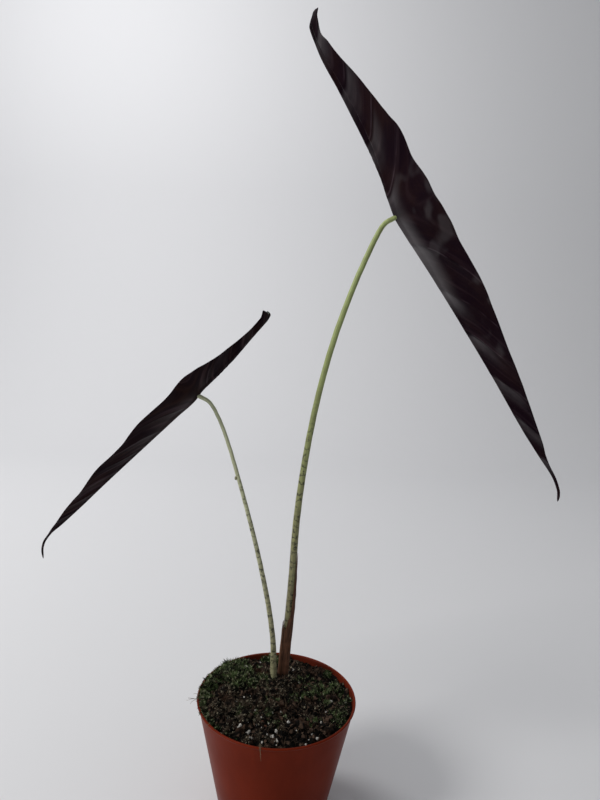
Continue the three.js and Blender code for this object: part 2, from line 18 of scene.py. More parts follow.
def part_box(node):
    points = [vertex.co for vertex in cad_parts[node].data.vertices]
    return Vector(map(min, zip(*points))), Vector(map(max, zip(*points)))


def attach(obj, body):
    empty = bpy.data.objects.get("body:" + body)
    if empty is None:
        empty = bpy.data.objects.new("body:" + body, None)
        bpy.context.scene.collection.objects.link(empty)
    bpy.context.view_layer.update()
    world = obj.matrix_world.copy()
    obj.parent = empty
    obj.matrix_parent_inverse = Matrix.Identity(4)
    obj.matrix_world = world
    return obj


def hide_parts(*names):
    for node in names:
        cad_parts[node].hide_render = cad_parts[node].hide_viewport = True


bl_info = {
    "name": "Potted alocasia longiloba",
    "version": (1, 0, 0),
    "blender": (4, 5, 0),
    "location": "View3D > Sidebar > Alocasia",
    "description": "Leaves, stems, peat, moss and pot of a potted alocasia longiloba",
    "category": "Add Mesh",
}

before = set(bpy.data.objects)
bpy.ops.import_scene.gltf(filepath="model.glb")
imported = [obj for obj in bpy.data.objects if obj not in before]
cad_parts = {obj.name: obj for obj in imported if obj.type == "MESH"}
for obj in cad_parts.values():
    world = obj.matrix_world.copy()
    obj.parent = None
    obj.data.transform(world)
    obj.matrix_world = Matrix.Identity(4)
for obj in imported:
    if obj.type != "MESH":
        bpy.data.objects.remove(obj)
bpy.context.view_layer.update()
BODY = "root"

MM = 0.001
WELD = 2e-6
RIM_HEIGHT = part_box("pot")[1].z
# The pot's radius at its foot, and how much it grows with the height
WALL_FOOT = 0.04
WALL_SLOPE = 0.2095
# How far from the pot's axis loose things lie on the peat
CRUMB_REACH = 0.0572
MOSS_REACH = 0.0568
FIBRE_REACH = 0.0565
FIBRE_START = 0.054
PERLITE_REACH = 0.055

# The camera's place, its tilt and the photograph's field of view
CAMERA_PLACE = Vector((0.0073, -0.4273, 0.3699))
CAMERA_PITCH = math.radians(6.87)
CAMERA_ROLL = math.radians(2.65)
IMAGE_WIDTH = 600
IMAGE_HEIGHT = 800
FOCAL_PIXELS = 601
SENSOR_MM = 36


class Blade(NamedTuple):
    """A blade along its own axis, from the lobe tips to the apex. The lists pair a distance from
    the petiole's joint with a size there, all in millimetres or degrees."""

    joint: tuple
    azimuth: float
    droop: float
    sinus: float
    parting: float
    keel: tuple
    half_width: tuple
    fold: tuple
    # How far a side vein runs along the blade for each millimetre across it
    slant: tuple
    first_vein: float
    vein_spacing: float
    wave: float
    wave_length: float
    quilt: float
    rib: float
    rows: int
    columns: int


TALL_BLADE = Blade(
    joint=(67.6, 15, 450.8),
    azimuth=8,
    droop=57.8,
    sinus=-46,
    parting=2.6,
    keel=(
        (-144, 14.8), (-138, 9.9), (-130, 8.7), (-118, 8.1), (-94, 9.6), (-60, 10.1), (-30, 7.7),
        (-10, 4.2), (2, 2.7), (14, 3.6), (30, 5.3), (55, 7.8), (98, 11.2), (142, 14.1), (187, 16.1),
        (215, 18.3), (235, 20), (246, 18.7), (255, 14.4),
    ),
    half_width=(
        (-144, 4.4), (-138, 5.2), (-129, 3.9), (-121, 6.6), (-106, 9.6), (-83, 15.2), (-60, 22.5),
        (-45, 28), (-30, 29.1), (-8, 39.7), (8, 42.4), (18, 41.5), (38, 37.6), (61, 37.8), (94, 30.7),
        (128, 25), (155, 18.9), (184, 13.5), (204, 8.1), (216, 4.1), (230, 1.9), (255, 1.5),
    ),
    fold=((-144, 30), (-110, 44), (-60, 54), (0, 57), (150, 55), (210, 42), (255, 28)),
    slant=(
        (-144, -1.5), (-60, -1.3), (-15, -0.9), (5, 0.3), (20, 0.75), (80, 1.35), (140, 1.7),
        (255, 1.9),
    ),
    first_vein=22,
    vein_spacing=38,
    wave=0.9,
    wave_length=61,
    quilt=1.1,
    rib=1.5,
    rows=400,
    columns=38,
)
SHORT_BLADE = Blade(
    joint=(-67.4, 18, 315.3),
    azimuth=172,
    droop=48.1,
    sinus=-30,
    parting=2,
    keel=(
        (-81, 4.7), (-75, 3.4), (-62, 3.2), (-45, 2.7), (-25, 2.6), (-6, 3.1), (6, 1.9), (23, 3.2),
        (45, 4.5), (73, 6.1), (107, 7.9), (137, 9.1), (155, 10.1), (167, 11.2), (175, 10.3),
        (181, 7.8), (188, 1.4),
    ),
    half_width=(
        (-81, 6.6), (-74, 4.6), (-67, 4.6), (-52, 6.7), (-42, 9.9), (-33, 14.2), (-19, 22.2),
        (-5, 25.5), (5, 26.4), (21, 26.6), (40, 25.1), (60, 21.5), (77, 20), (94, 18.3), (106, 16.2),
        (126, 11.6), (146, 7.2), (159, 4), (170, 1.2), (188, 1.1),
    ),
    fold=((-81, 30), (-62, 42), (-34, 53), (0, 56), (110, 54), (155, 40), (188, 28)),
    slant=(
        (-81, -1.5), (-40, -1.3), (-10, -0.9), (5, 0.3), (15, 0.8), (60, 1.7), (110, 2.1),
        (188, 2.2),
    ),
    first_vein=14,
    vein_spacing=25,
    wave=0.8,
    wave_length=47,
    quilt=0.8,
    rib=1.2,
    rows=300,
    columns=30,
)
# A half lies flat at its rib and then turns up, within this share of its width
OUTER_ROUNDING = 0.28
INNER_ROUNDING = 0.12
INNER_FOLD = math.radians(48)
STEEPEST_HALF = 0.5
# The part of a lobe inside its rib, as a share of the width, and where it is fully parted
LOBE_INNER_SHARE = 0.3
LOBE_RIB_PARTED = 0.55
LOBE_TIP_ROUND = 1.4
LOBE_TIP_BLUNT = 0.75
APEX_ROUND = 3
LOBE_FADE = 40
APEX_FADE = 60

STEM_FOOT = 82.3
# Petiole centre lines from the rootstock up to the joint, and the radii at the same points
TALL_STEM = (
    (3.2, 25.4, STEM_FOOT), (4.6, 25.2, 116), (6.3, 24.9, 143), (7.6, 24.7, 176), (8.7, 24.5, 216),
    (11.7, 24, 254), (16.4, 23.3, 292), (22.8, 22.2, 329), (31.3, 20.9, 365), (42.4, 19.1, 400.5),
    (51.4, 17.6, 424.4), (57.6, 16.6, 439), (62.2, 15.9, 446.6), (68.4, 15, 450.5),
)
TALL_STEM_RADII = (3.4, 3.3, 3.1, 2.8, 2.6, 2.45, 2.3, 2.2, 2.15, 2.05, 2.0, 1.9, 1.8, 1.75)
SHORT_STEM = (
    (-3, 17.8, STEM_FOOT), (-4, 17.9, 107), (-5.2, 17.8, 126), (-9.4, 17.9, 152),
    (-15.2, 17.9, 178), (-21.5, 17.9, 203), (-28.9, 17.9, 229), (-36.2, 17.9, 253),
    (-44.2, 17.9, 278), (-51.6, 18, 297), (-59.4, 18, 310.5), (-67.4, 18, 315.3),
)
# A small nub on the short petiole
NUB = (-38.4, 17.2, 254.6)
NUB_RADIUS = 0.0011
SHORT_STEM_RADII = (2.9, 2.4, 2.05, 1.9, 1.8, 1.7, 1.6, 1.5, 1.4, 1.35, 1.35, 1.6)

# Pixels of the photograph where single things lie on the peat
PERLITE_PIXELS = (
    (258, 727), (247, 735), (252, 740), (267, 736), (272, 738), (278, 742), (327, 713), (321, 724),
    (312, 736), (317, 740), (246, 668), (259, 668), (206, 690), (204, 694), (249, 733), (288, 724),
    (299, 684), (306, 746), (331, 703), (262, 744), (240, 727), (276, 733), (350, 700), (311, 742),
)
BARK_PIXELS = ((265, 727), (262, 724))


# Settings

def tint(name, description, default):
    return FloatVectorProperty(
        name=name, description=description, default=default, subtype="COLOR", size=3, min=0, max=1,
    )


def amount(name, description, default, unit="LENGTH"):
    return FloatProperty(name=name, description=description, default=default, min=0, unit=unit)


def count(name, description, default, least=0):
    return IntProperty(name=name, description=description, default=default, min=least)


class LeafSettings(bpy.types.PropertyGroup):
    """Sizes and colours of the blades"""

    thickness: amount("Thickness", "Blade thickness between the veins", 0.0007)
    vein_ridge: amount("Vein ridge", "How far a side vein stands out of the underside", 0.0003)
    underside_dark: tint("Underside", "Near-black purple of the underside", (0.0066, 0.0021, 0.0050))
    underside_brown: tint("Underside streaks", "Brown of the streaks below", (0.0195, 0.0078, 0.0066))
    underside_vein: tint("Underside veins", "Greyish mauve of the veins below", (0.06, 0.038, 0.048))
    # A grey painted sheen, laid into the underside's colour where the satin gloss lies
    painted_sheen: tint("Painted sheen", "Greyish bloom where the underside is satin", (0.078, 0.068, 0.073))
    satin: amount("Satin gloss", "How strong the satin gloss beside the rib is", 0.9, "NONE")
    satin_width: amount("Satin width", "How far the satin gloss reaches from the rib", 0.017)
    upper_green: tint("Upper side", "Deep green of the upper side", (0.009, 0.022, 0.011))
    upper_vein: tint("Upper veins", "Pale green of the veins above", (0.24, 0.31, 0.20))


class StemSettings(bpy.types.PropertyGroup):
    """Colours of the petioles and the dry sheath"""

    tall_top: tint("Tall petiole, top", "Yellow-green under the tall blade", (0.31, 0.37, 0.135))
    tall_foot: tint("Tall petiole, foot", "Greyish olive near the soil", (0.20, 0.18, 0.088))
    short_top: tint("Short petiole, top", "Cream-green under the short blade", (0.50, 0.52, 0.33))
    short_foot: tint("Short petiole, foot", "Pale green near the soil", (0.31, 0.295, 0.165))
    dash: tint("Dashes", "Dark cross dashes on the petioles", (0.022, 0.02, 0.011))
    dash_spacing: amount("Dash spacing", "Distance between the cross dashes", 0.0068)
    sheath: tint("Dry sheath", "Brown of the papery sheath", (0.15, 0.067, 0.037))


class SoilSettings(bpy.types.PropertyGroup):
    """What lies in and on the peat"""

    peat: tint("Peat", "Near-black of the moist peat", (0.0032, 0.0026, 0.0021))
    peat_brown: tint("Peat fibres", "Reddish brown of the drier peat", (0.052, 0.027, 0.017))
    moss: tint("Moss", "Green of the moss", (0.075, 0.108, 0.040))
    crumbs: count("Crumbs", "How many crumbs of peat lie on the surface", 2300)
    fibres: count("Fibres", "How many fibres lie on the surface", 980)
    moss_tufts: count("Moss tufts", "How many tufts the moss has", 2700)
    dry_tufts: count("Dry tufts", "How many tufts of dead moss lie on the peat", 2000)


class PotSettings(bpy.types.PropertyGroup):
    """Sizes and colour of the pot"""

    plastic: tint("Plastic", "Terracotta colour of the pot", (0.145, 0.0175, 0.0062))
    wall: amount("Wall", "Thickness of the pot's wall", 0.0012)
    segments: count("Segments", "Faces round the pot", 160, least=32)


class StudioSettings(bpy.types.PropertyGroup):
    """The floor and the light"""

    floor: tint("Floor", "Pale floor and backdrop", (0.70, 0.70, 0.715))
    key_power: amount("Key light", "Power of the light at the upper left", 17, "POWER")
    backdrop_power: amount("Backdrop light", "Power of the light on the backdrop", 22, "POWER")
    sky: amount("Surrounding light", "Strength of the even light all round", 0.29, "NONE")


SETTINGS = {
    "alocasia_leaf": LeafSettings,
    "alocasia_stem": StemSettings,
    "alocasia_soil": SoilSettings,
    "alocasia_pot": PotSettings,
    "alocasia_studio": StudioSettings,
}


# Materials

def math_node(operation, swapped=False):
    """A method that feeds a wire, and another value if it has one, to a Math node"""
    def method(wire, *others):
        values = (*others, wire) if swapped else (wire, *others)
        return wire.skin.node("ShaderNodeMath", dict(enumerate(values)), operation=operation)[0]
    return method


class Wire:
    """A shader socket. Sums and products on it add Math nodes."""

    def __init__(self, skin, socket):
        self.skin = skin
        self.socket = socket

    __add__ = __radd__ = math_node("ADD")
    __sub__ = math_node("SUBTRACT")
    __rsub__ = math_node("SUBTRACT", swapped=True)
    __mul__ = __rmul__ = math_node("MULTIPLY")
    __truediv__ = math_node("DIVIDE")
    __abs__ = math_node("ABSOLUTE")
    root = math_node("SQRT")
    # What is left after the whole part is taken away
    fraction = math_node("FRACT")

    def step(self, low, high, start=0, end=1):
        """A smooth step from start to end as the value goes from low to high"""
        inputs = dict(enumerate((self, low, high, start, end)))
        return self.skin.node("ShaderNodeMapRange", inputs, interpolation_type="SMOOTHSTEP")[0]


class Outputs:
    """A node's outputs by name or number"""

    def __init__(self, skin, node):
        self.skin = skin
        self.outputs = node.outputs

    def __getitem__(self, key):
        return Wire(self.skin, self.outputs[key])


class Skin:
    """A material with one Principled shader, and short ways to make its nodes"""

    def __init__(self, name, **uniform):
        self.material = bpy.data.materials.new(name)
        self.material.use_nodes = True
        self.tree = self.material.node_tree
        self.shader = self.tree.nodes["Principled BSDF"]
        self.finish(**uniform)
        self.place = self.node("ShaderNodeTexCoord", {})["Object"]
        self.chart = self.node("ShaderNodeUVMap", {})[0]

    def node(self, kind, inputs, **settings):
        """Adds a node: its settings first, then the values or links of its sockets"""
        made = self.tree.nodes.new(kind)
        for name, value in settings.items():
            setattr(made, name, value)
        for key, value in inputs.items():
            self.feed(made.inputs[key], value)
        return Outputs(self, made)

    def feed(self, socket, value):
        if isinstance(value, Wire):
            self.tree.links.new(value.socket, socket)
        elif socket.type == "RGBA":
            socket.default_value = (*value, 1)
        else:
            socket.default_value = value

    def finish(self, **sockets):
        for socket, value in sockets.items():
            self.feed(self.shader.inputs[socket.replace("_", " ")], value)
        return self.material

    def noise(self, scale, vector=None, detail=3, roughness=0.55):
        inputs = {"Vector": vector or self.place, "Scale": scale, "Detail": detail, "Roughness": roughness}
        return self.node("ShaderNodeTexNoise", inputs)[0]

    def cells(self, scale, vector=None, feature="F1", output=0):
        inputs = {"Vector": vector or self.place, "Scale": scale}
        return self.node("ShaderNodeTexVoronoi", inputs, feature=feature)[output]

    def stretched(self, vector, scale):
        """The same coordinates, longer or shorter along each axis"""
        return self.node("ShaderNodeMapping", {"Vector": vector, "Scale": scale})[0]

    def parts(self, vector):
        split = self.node("ShaderNodeSeparateXYZ", {0: vector})
        return split[0], split[1], split[2]

    def layers(self, color, *coats):
        """Lays the colour of each coat over those before it, as far as its factor goes"""
        for factor, coat in coats:
            inputs = {0: factor, 6: color, 7: coat}
            color = self.node("ShaderNodeMix", inputs, data_type="RGBA", clamp_factor=True)[2]
        return color

    def bump(self, height, distance, strength, under=None):
        inputs = {"Height": height, "Distance": distance, "Strength": strength}
        if under:
            inputs["Normal"] = under
        return self.node("ShaderNodeBump", inputs)[0]


def shade(color, share):
    """A colour made darker or lighter"""
    return tuple(min(1, share * value) for value in color)


def plain_skin(name, dark, light, scale, roughness):
    """A dull natural finish that wanders between two colours"""
    skin = Skin(name, Specular_IOR_Level=0.3)
    tone = skin.noise(scale, detail=4, roughness=0.6)
    color = skin.layers(dark, (tone.step(0.3, 0.7), light))
    relief = skin.bump(skin.noise(scale * 6), 0.0003, 0.6)
    return skin.finish(Base_Color=color, Roughness=tone * 0.15 + roughness, Normal=relief)


# Meshes

def along(pairs, distance):
    """A smooth value at each distance along a list of (distance, value) pairs, which never
    overshoots its neighbours"""
    x, y = np.array(pairs, float).T
    rise = np.diff(y) / np.diff(x)
    slope = np.zeros_like(y)
    slope[[0, -1]] = rise[[0, -1]]
    inner = rise[:-1] * rise[1:] > 0
    total = np.where(inner, rise[:-1] + rise[1:], 1)
    slope[1:-1] = np.where(inner, 2 * rise[:-1] * rise[1:] / total, 0)
    i = np.clip(np.searchsorted(x, distance) - 1, 0, len(x) - 2)
    span = x[i + 1] - x[i]
    s = np.clip((distance - x[i]) / span, 0, 1)
    value = (1 + 2 * s) * (1 - s) ** 2 * y[i] + s * s * (3 - 2 * s) * y[i + 1]
    return value + span * (s * (1 - s) ** 2 * slope[i] + s * s * (s - 1) * slope[i + 1])


def smooth_step(value):
    value = np.clip(value, 0, 1)
    return value * value * (3 - 2 * value)


def smooth_line(points, samples):
    """A smooth line through points, with a number of samples in each span. Gives the places and,
    for each, how many points it is along."""
    points = [Vector(point) for point in points]
    last = len(points) - 1
    places = []
    for i in range(last):
        before = points[max(i - 1, 0)]
        after = points[min(i + 2, last)]
        leave = points[i] + (points[i + 1] - before) / 6
        arrive = points[i + 1] - (after - points[i]) / 6
        span = geometry.interpolate_bezier(points[i], leave, arrive, points[i + 1], samples + 1)
        places.extend(span[:-1])
    places.append(points[last])
    return places, np.arange(len(places)) / samples


def laid_grid(bm, places, chart=None):
    """A grid of faces whose corners are moved to places[row, column]. chart gives their UV."""
    rows, columns = places.shape[0] - 1, places.shape[1] - 1
    made = bmesh.ops.create_grid(bm, x_segments=columns, y_segments=rows, size=0.5)["verts"]
    where = {}
    for vert in made:
        row = round((vert.co.y + 0.5) * rows)
        column = round((vert.co.x + 0.5) * columns)
        where[vert] = (row, column)
        vert.co = places[row, column]
    faces = {face for vert in made for face in vert.link_faces}
    if chart is not None:
        layer = bm.loops.layers.uv.verify()
        for face in faces:
            for loop in face.loops:
                loop[layer].uv = chart[where[loop.vert]]
    return faces, where


def lay_tube(bm, centres, radii, sides, bumps=None):
    """A closed round stem along centres. Its UV is the way round, from 0 to 1, and the distance
    along in metres. bumps(ring, turn) adds to the radius."""
    centres = np.array(centres, float)
    tangents = np.gradient(centres, axis=0)
    tangents /= np.linalg.norm(tangents, axis=1)[:, None]
    reference = np.eye(3)[np.argmin(np.abs(tangents).sum(axis=0))]
    first = np.cross(tangents, reference)
    first /= np.linalg.norm(first, axis=1)[:, None]
    second = np.cross(tangents, first)
    turn = np.linspace(0, 2 * math.pi, sides + 1)
    reach = np.array(radii, float)[:, None] * np.ones(sides + 1)
    if bumps:
        reach = reach + bumps(np.arange(len(centres))[:, None], turn[None, :])
    ring = first[:, None] * np.cos(turn)[:, None] + second[:, None] * np.sin(turn)[:, None]
    places = centres[:, None] + ring * reach[..., None]
    ends = [np.repeat(centres[[k]], sides + 1, axis=0)[None] for k in (0, -1)]
    places = np.concatenate([ends[0], places, ends[1]])
    steps = np.linalg.norm(np.diff(centres, axis=0), axis=1)
    distance = np.concatenate([[0, 0], np.cumsum(steps), [steps.sum()]])
    chart = np.stack(np.broadcast_arrays(turn / (2 * math.pi), distance[:, None]), axis=-1)
    laid_grid(bm, places, chart)


def close_shell(bm):
    bmesh.ops.remove_doubles(bm, verts=bm.verts, dist=WELD)
    bmesh.ops.dissolve_degenerate(bm, edges=bm.edges, dist=WELD)
    bmesh.ops.recalc_face_normals(bm, faces=bm.faces)


def mesh_of(bm, name, materials, smooth=True):
    mesh = bpy.data.meshes.new(name)
    bm.to_mesh(mesh)
    bm.free()
    for material in materials:
        mesh.materials.append(material)
    if smooth:
        mesh.shade_smooth()
    return mesh


def add_piece(name, mesh, replaces=()):
    """Puts a mesh into the scene as a piece of the plant"""
    piece = bpy.data.objects.new(name, mesh)
    bpy.context.scene.collection.objects.link(piece)
    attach(piece, BODY)
    if replaces:
        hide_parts(*replaces)


def scatter_on_peat(name, prototypes, matrices, material):
    """One piece that holds a copy of a prototype for each matrix, the prototypes in turn"""
    bm = bmesh.new()
    for i, matrix in enumerate(matrices):
        mesh = prototypes[i % len(prototypes)]
        mesh.transform(matrix)
        bm.from_mesh(mesh)
        mesh.transform(matrix.inverted())
    for mesh in prototypes:
        bpy.data.meshes.remove(mesh)
    add_piece(name, mesh_of(bm, name, [material], smooth=False))


def lump(seed, subdivisions, roughness):
    """A rough pebble of about unit radius"""
    bm = bmesh.new()
    made = bmesh.ops.create_icosphere(bm, subdivisions=subdivisions, radius=1)["verts"]
    for vert in made:
        swell = noise.noise(vert.co * 1.3 + Vector((seed * 7.1, 0, 0)))
        vert.co *= 1 + roughness * swell
    return mesh_of(bm, "lump", [], smooth=False)


def turned_about(rng, place, size, stretch=(1, 1, 1)):
    """A matrix with a random turn, put at a place"""
    turn = Matrix.Rotation(rng.uniform(0, 2 * math.pi), 4, Vector(rng.sample((1, 2, 3), 3)))
    tilt = Matrix.Rotation(rng.uniform(0, 2 * math.pi), 4, "X")
    scale = Matrix.Diagonal((*(size * share for share in stretch), 1))
    return Matrix.Translation(place) @ turn @ tilt @ scale


def on_circle(radius, angle, height=0):
    return Vector((radius * math.cos(angle), radius * math.sin(angle), height))


# Seeing the peat through the photograph's camera

def camera_turn():
    return Matrix.Rotation(math.pi / 2 - CAMERA_PITCH, 3, "X") @ Matrix.Rotation(CAMERA_ROLL, 3, "Z")


def seen_on(ground, pixel):
    """The place on a ground where a pixel of the photograph looks"""
    x, y = pixel
    ray = Vector((x - IMAGE_WIDTH / 2, IMAGE_HEIGHT / 2 - y, -FOCAL_PIXELS))
    return ground.ray_cast(CAMERA_PLACE, camera_turn() @ ray.normalized())[0]


# Leaves

def section(distance, width, fold, rounding):
    """A half blade in section, at a distance from its rib: how far across and how high it is, and
    the across and height shares of the way it runs"""
    bend = rounding * np.maximum(width, 0.001)
    reach = np.hypot(distance, bend)
    flat = np.exp(-distance / bend)
    steep = np.sin(fold)
    across = distance * steep + (1 - steep) * bend * (1 - flat)
    height = np.cos(fold) * (reach - bend)
    run_across = steep + (1 - steep) * flat
    run_up = np.cos(fold) * distance / reach
    length = np.hypot(run_across, run_up)
    return across, height, run_across / length, run_up / length


def blade_axes(blade):
    """Directions along a blade towards its apex, across it, and out of its upper side"""
    azimuth, droop = math.radians(blade.azimuth), math.radians(blade.droop)
    level = np.array((math.cos(azimuth), math.sin(azimuth), 0))
    lateral = np.array((-math.sin(azimuth), math.cos(azimuth), 0))
    axis = level * math.cos(droop) - np.array((0, 0, math.sin(droop)))
    upper = level * math.sin(droop) + np.array((0, 0, math.cos(droop)))
    return axis, lateral, upper


def blade_half(blade, side, t, v, layer, leaf):
    """Places and chart of one half of a blade, at distances t along it and shares v across it.
    layer is 1 on the upper face, -1 on the underside and 0 at the margin."""
    lobe, apex = blade.keel[0][0], blade.keel[-1][0]
    lobe_round = np.sqrt(np.clip((t - lobe) / LOBE_TIP_ROUND, 0, 1))
    apex_round = np.sqrt(np.clip((apex - t) / APEX_ROUND, 0, 1))
    blunt = LOBE_TIP_BLUNT + (1 - LOBE_TIP_BLUNT) * lobe_round
    width = along(blade.half_width, t) * blunt * apex_round
    fold = np.radians(along(blade.fold, t))
    free = np.clip((blade.sinus - t) / (blade.sinus - lobe), 0, 1)
    ends = np.clip(np.minimum((t - lobe) / LOBE_FADE, (apex - t) / APEX_FADE), 0, 1)

    # Each lobe has a rib of its own, with a narrow strip of blade inside it
    inner = LOBE_INNER_SHARE * width * smooth_step(-t / (LOBE_RIB_PARTED * abs(lobe)))
    from_middle = v * (inner + width)
    from_rib = from_middle - inner
    outside = from_rib >= 0
    reach = np.where(outside, width, inner)
    panel = np.clip(np.abs(from_rib) / np.maximum(reach, 0.001), 0, 1)
    outer_half = section(np.maximum(from_rib, 0), width, fold, OUTER_ROUNDING)
    inner_half = section(np.maximum(-from_rib, 0), width, INNER_FOLD, INNER_ROUNDING)
    part, rise, run_across, run_up = (np.where(outside, *pair) for pair in zip(outer_half, inner_half))
    rib_at = blade.parting * free ** 0.6 + section(inner, width, INNER_FOLD, INNER_ROUNDING)[0]
    direction = np.where(outside, 1, -1)
    across = rib_at + direction * part
    height = along(blade.keel, t) + rise

    # Side veins leave the rib at a slant and bend towards the margin's own direction
    vein_chart = t - along(blade.slant, t) * reach * panel ** 1.3 - blade.first_vein
    wander = 0.9 * np.sin(t / 17 + 2.3 * side) * panel + 0.5 * np.sin(from_rib / 4.1 + t / 9)
    vein_chart = vein_chart + wander
    phase = vein_chart / blade.vein_spacing
    between = phase - np.floor(phase)
    from_vein = (0.5 - np.abs(between - 0.5)) * blade.vein_spacing
    # Some veins stand out more than their neighbours
    strength = 0.62 + 0.38 * np.sin(2.5 * np.floor(phase) + 0.6 + 0.5 * (1 - side))
    swell = np.sin(math.pi * panel ** 0.8) * np.sin(math.pi * between ** 0.7)
    swell = 1.5 * blade.quilt * ends * strength * swell
    wave = blade.wave * ends * panel ** 2 * np.sin(2 * math.pi * t / blade.wave_length + 1.9 * side)
    pucker = 0.1 * ends * panel * np.sin(t / 3.1 + from_rib / 2.3 + 2 * np.sin(t / 11 + side))
    relief = swell + np.where(outside, wave, 0) + pucker

    rib_width = np.minimum(1.9, 0.4 + 0.06 * width)
    rib_height = 0.15 + blade.rib * ends * (1 - np.abs(t) / (apex - lobe))
    rib = rib_height * np.exp(-(from_rib / rib_width) ** 2)
    vein_reach = ends * (1 - panel ** 2) * np.clip(np.abs(from_rib) / 2, 0, 1)
    vein = leaf.vein_ridge / MM * np.exp(-(from_vein / 1.9) ** 2) * vein_reach
    half = 0.5 * leaf.thickness / MM * (1 - 0.4 * panel ** 8)
    above = half - 0.3 * rib - 0.6 * vein
    below = -half - rib - vein
    offset = np.where(layer > 0, above, np.where(layer < 0, below, 0)) * lobe_round * apex_round

    # At the middle both halves share their corners, so there the offset is straight up or down
    clear = smooth_step(from_middle / 2)
    lift = relief + offset
    across = across - direction * clear * lift * run_up
    lean = clear * run_across + (1 - clear) / np.maximum(STEEPEST_HALF, run_across)
    height = height + lift * lean
    # The margin's own corners stand out a little past the faces
    edge = np.where(layer == 0, 0.5 * leaf.thickness / MM, 0) * lobe_round * apex_round
    across = side * (across + direction * edge * run_across)
    height = height + edge * run_up

    axis, lateral, upper = blade_axes(blade)
    t, across, height = np.broadcast_arrays(t, across, height)
    places = np.array(blade.joint) + t[..., None] * axis + height[..., None] * upper
    places = (places + across[..., None] * lateral) * MM
    chart = np.stack(np.broadcast_arrays(from_rib, vein_chart), axis=-1) * MM
    return places, chart


def blade_mesh(blade, leaf, name, materials):
    """Both halves of a blade as one closed shell. A half is a flat tube: across its upper face,
    round the margin, back along the underside, and up the inner edge."""
    lobe, apex = blade.keel[0][0], blade.keel[-1][0]
    share = np.linspace(0, 1, blade.rows + 1)
    t = lobe + (apex - lobe) * (share - 0.06 * np.sin(2 * math.pi * share))
    sinus_row = int(np.argmin(np.abs(t - blade.sinus)))
    t[sinus_row] = blade.sinus
    across = np.linspace(0, 1, blade.columns + 1) ** 1.15
    v = np.concatenate([across, [1], across[::-1], [0]])
    layer = np.concatenate([np.ones_like(across), [0], -np.ones_like(across), [1]])
    inner_edge = 2 * len(across)

    bm = bmesh.new()
    walls = []
    for side in (1, -1):
        places, chart = blade_half(blade, side, t[:, None], v[None, :], layer[None, :], leaf)
        places[[0, -1]] = places[[0, -1]].mean(axis=1, keepdims=True)
        faces, where = laid_grid(bm, places, chart)
        for face in faces:
            columns = [where[vert][1] for vert in face.verts]
            rows = [where[vert][0] for vert in face.verts]
            face.material_index = int(max(columns) <= blade.columns)
            if min(columns) >= inner_edge and min(rows) >= sinus_row:
                walls.append(face)
    bmesh.ops.delete(bm, geom=walls, context="FACES_ONLY")
    close_shell(bm)
    return mesh_of(bm, name, materials)


def distance_along(skin, blade):
    """How far a place is along a blade from its petiole's joint, in metres"""
    axis = Vector(blade_axes(blade)[0])
    along_axis = skin.node("ShaderNodeVectorMath", {0: skin.place, 1: axis}, operation="DOT_PRODUCT")
    return along_axis["Value"] - axis.dot(Vector(blade.joint) * MM)


def vein_distances(skin, blade):
    """How far a place is from the rib and from the nearest side vein, and its share of the way
    from one side vein to the next"""
    from_rib, vein_chart, _ = skin.parts(skin.chart)
    spacing = blade.vein_spacing * MM
    phase = vein_chart / spacing
    from_vein = abs((phase + 0.5).fraction() - 0.5) * spacing
    return abs(from_rib), from_vein, phase.fraction()


def underside_skin(leaf, blade, name, brown, mauve, sheen):
    """Near-black purple, browner in streaks along the veins, with a satin gloss beside the rib
    that is strongest just past each side vein. Where the gloss is, the colour is painted a lighter
    grey as a painted sheen, and the side veins carry a painted highlight and a painted shadow."""
    skin = Skin(name, Specular_IOR_Level=0.03, Coat_Roughness=0.36)
    from_rib, from_vein, past = vein_distances(skin, blade)
    from_joint = distance_along(skin, blade)
    width = leaf.satin_width
    streaks = skin.noise(210, skin.stretched(skin.chart, (0.22, 1, 1)), detail=4, roughness=0.6)
    stripes = skin.noise(105, skin.stretched(skin.chart, (0.2, 1, 1)), detail=2)
    fine = skin.noise(420, skin.stretched(skin.chart, (0.5, 1, 1)))
    patch = skin.noise(47, skin.stretched(skin.place, (1, 1, 0.7)), detail=2)
    cloud = skin.noise(31)

    browning = streaks.step(0.4, 0.72) * brown + cloud.step(0.42, 0.7) * 0.4
    # Painted highlight and painted shadow along the side veins, in stretches that take turns
    vein_highlight = from_vein.step(0.0002, 0.0013, 1, 0) * patch.step(0.42, 0.6)
    vein_shadow = from_vein.step(0.0004, 0.0016, 1, 0) * patch.step(0.38, 0.5, 1, 0)
    near_rib = from_rib.step(0.2 * width, width, 1, 0)
    near_joint = from_joint.step(-0.004, 0.01) * from_joint.step(0.05, 0.085, 1, 0)
    after_vein = past.step(0.03, 0.12) * past.step(0.16, 0.72, 1, 0)
    uneven = patch.step(0.34, 0.6) * 0.45 + streaks * 0.5 + 0.15
    # satin and patches set the coat's gloss, and also where the grey painted sheen goes
    satin = near_rib * (near_joint * (0.3 * streaks + 0.62) + after_vein * uneven * 0.7) * sheen
    patches = patch.step(0.55, 0.66) * from_rib.step(0.4 * width, 1.2 * width) * 0.3 * sheen
    color = skin.layers(
        leaf.underside_dark,
        (browning, leaf.underside_brown),
        (stripes.step(0.5, 0.68) * mauve, leaf.underside_vein),
        # The painted highlight along the vein ridges, then the painted shadow beside it
        (vein_highlight * 0.4, leaf.underside_vein),
        (vein_shadow * 0.6, shade(leaf.underside_dark, 0.5)),
        # Where the satin gloss lies, the colour is painted a lighter grey: a painted sheen
        ((satin + patches) * 0.62, leaf.painted_sheen),
    )
    gloss = satin * leaf.satin + patches * 0.8 + vein_highlight * 0.15
    net = skin.cells(260, skin.chart, feature="DISTANCE_TO_EDGE")
    relief = skin.bump(net.step(0, 0.16), 0.0001, 0.3)
    relief = skin.bump(fine, 0.0003, 0.35, under=relief)
    roughness = cloud * 0.14 + streaks * 0.16 + 0.36
    return skin.finish(Base_Color=color, Roughness=roughness, Coat_Weight=gloss, Normal=relief)


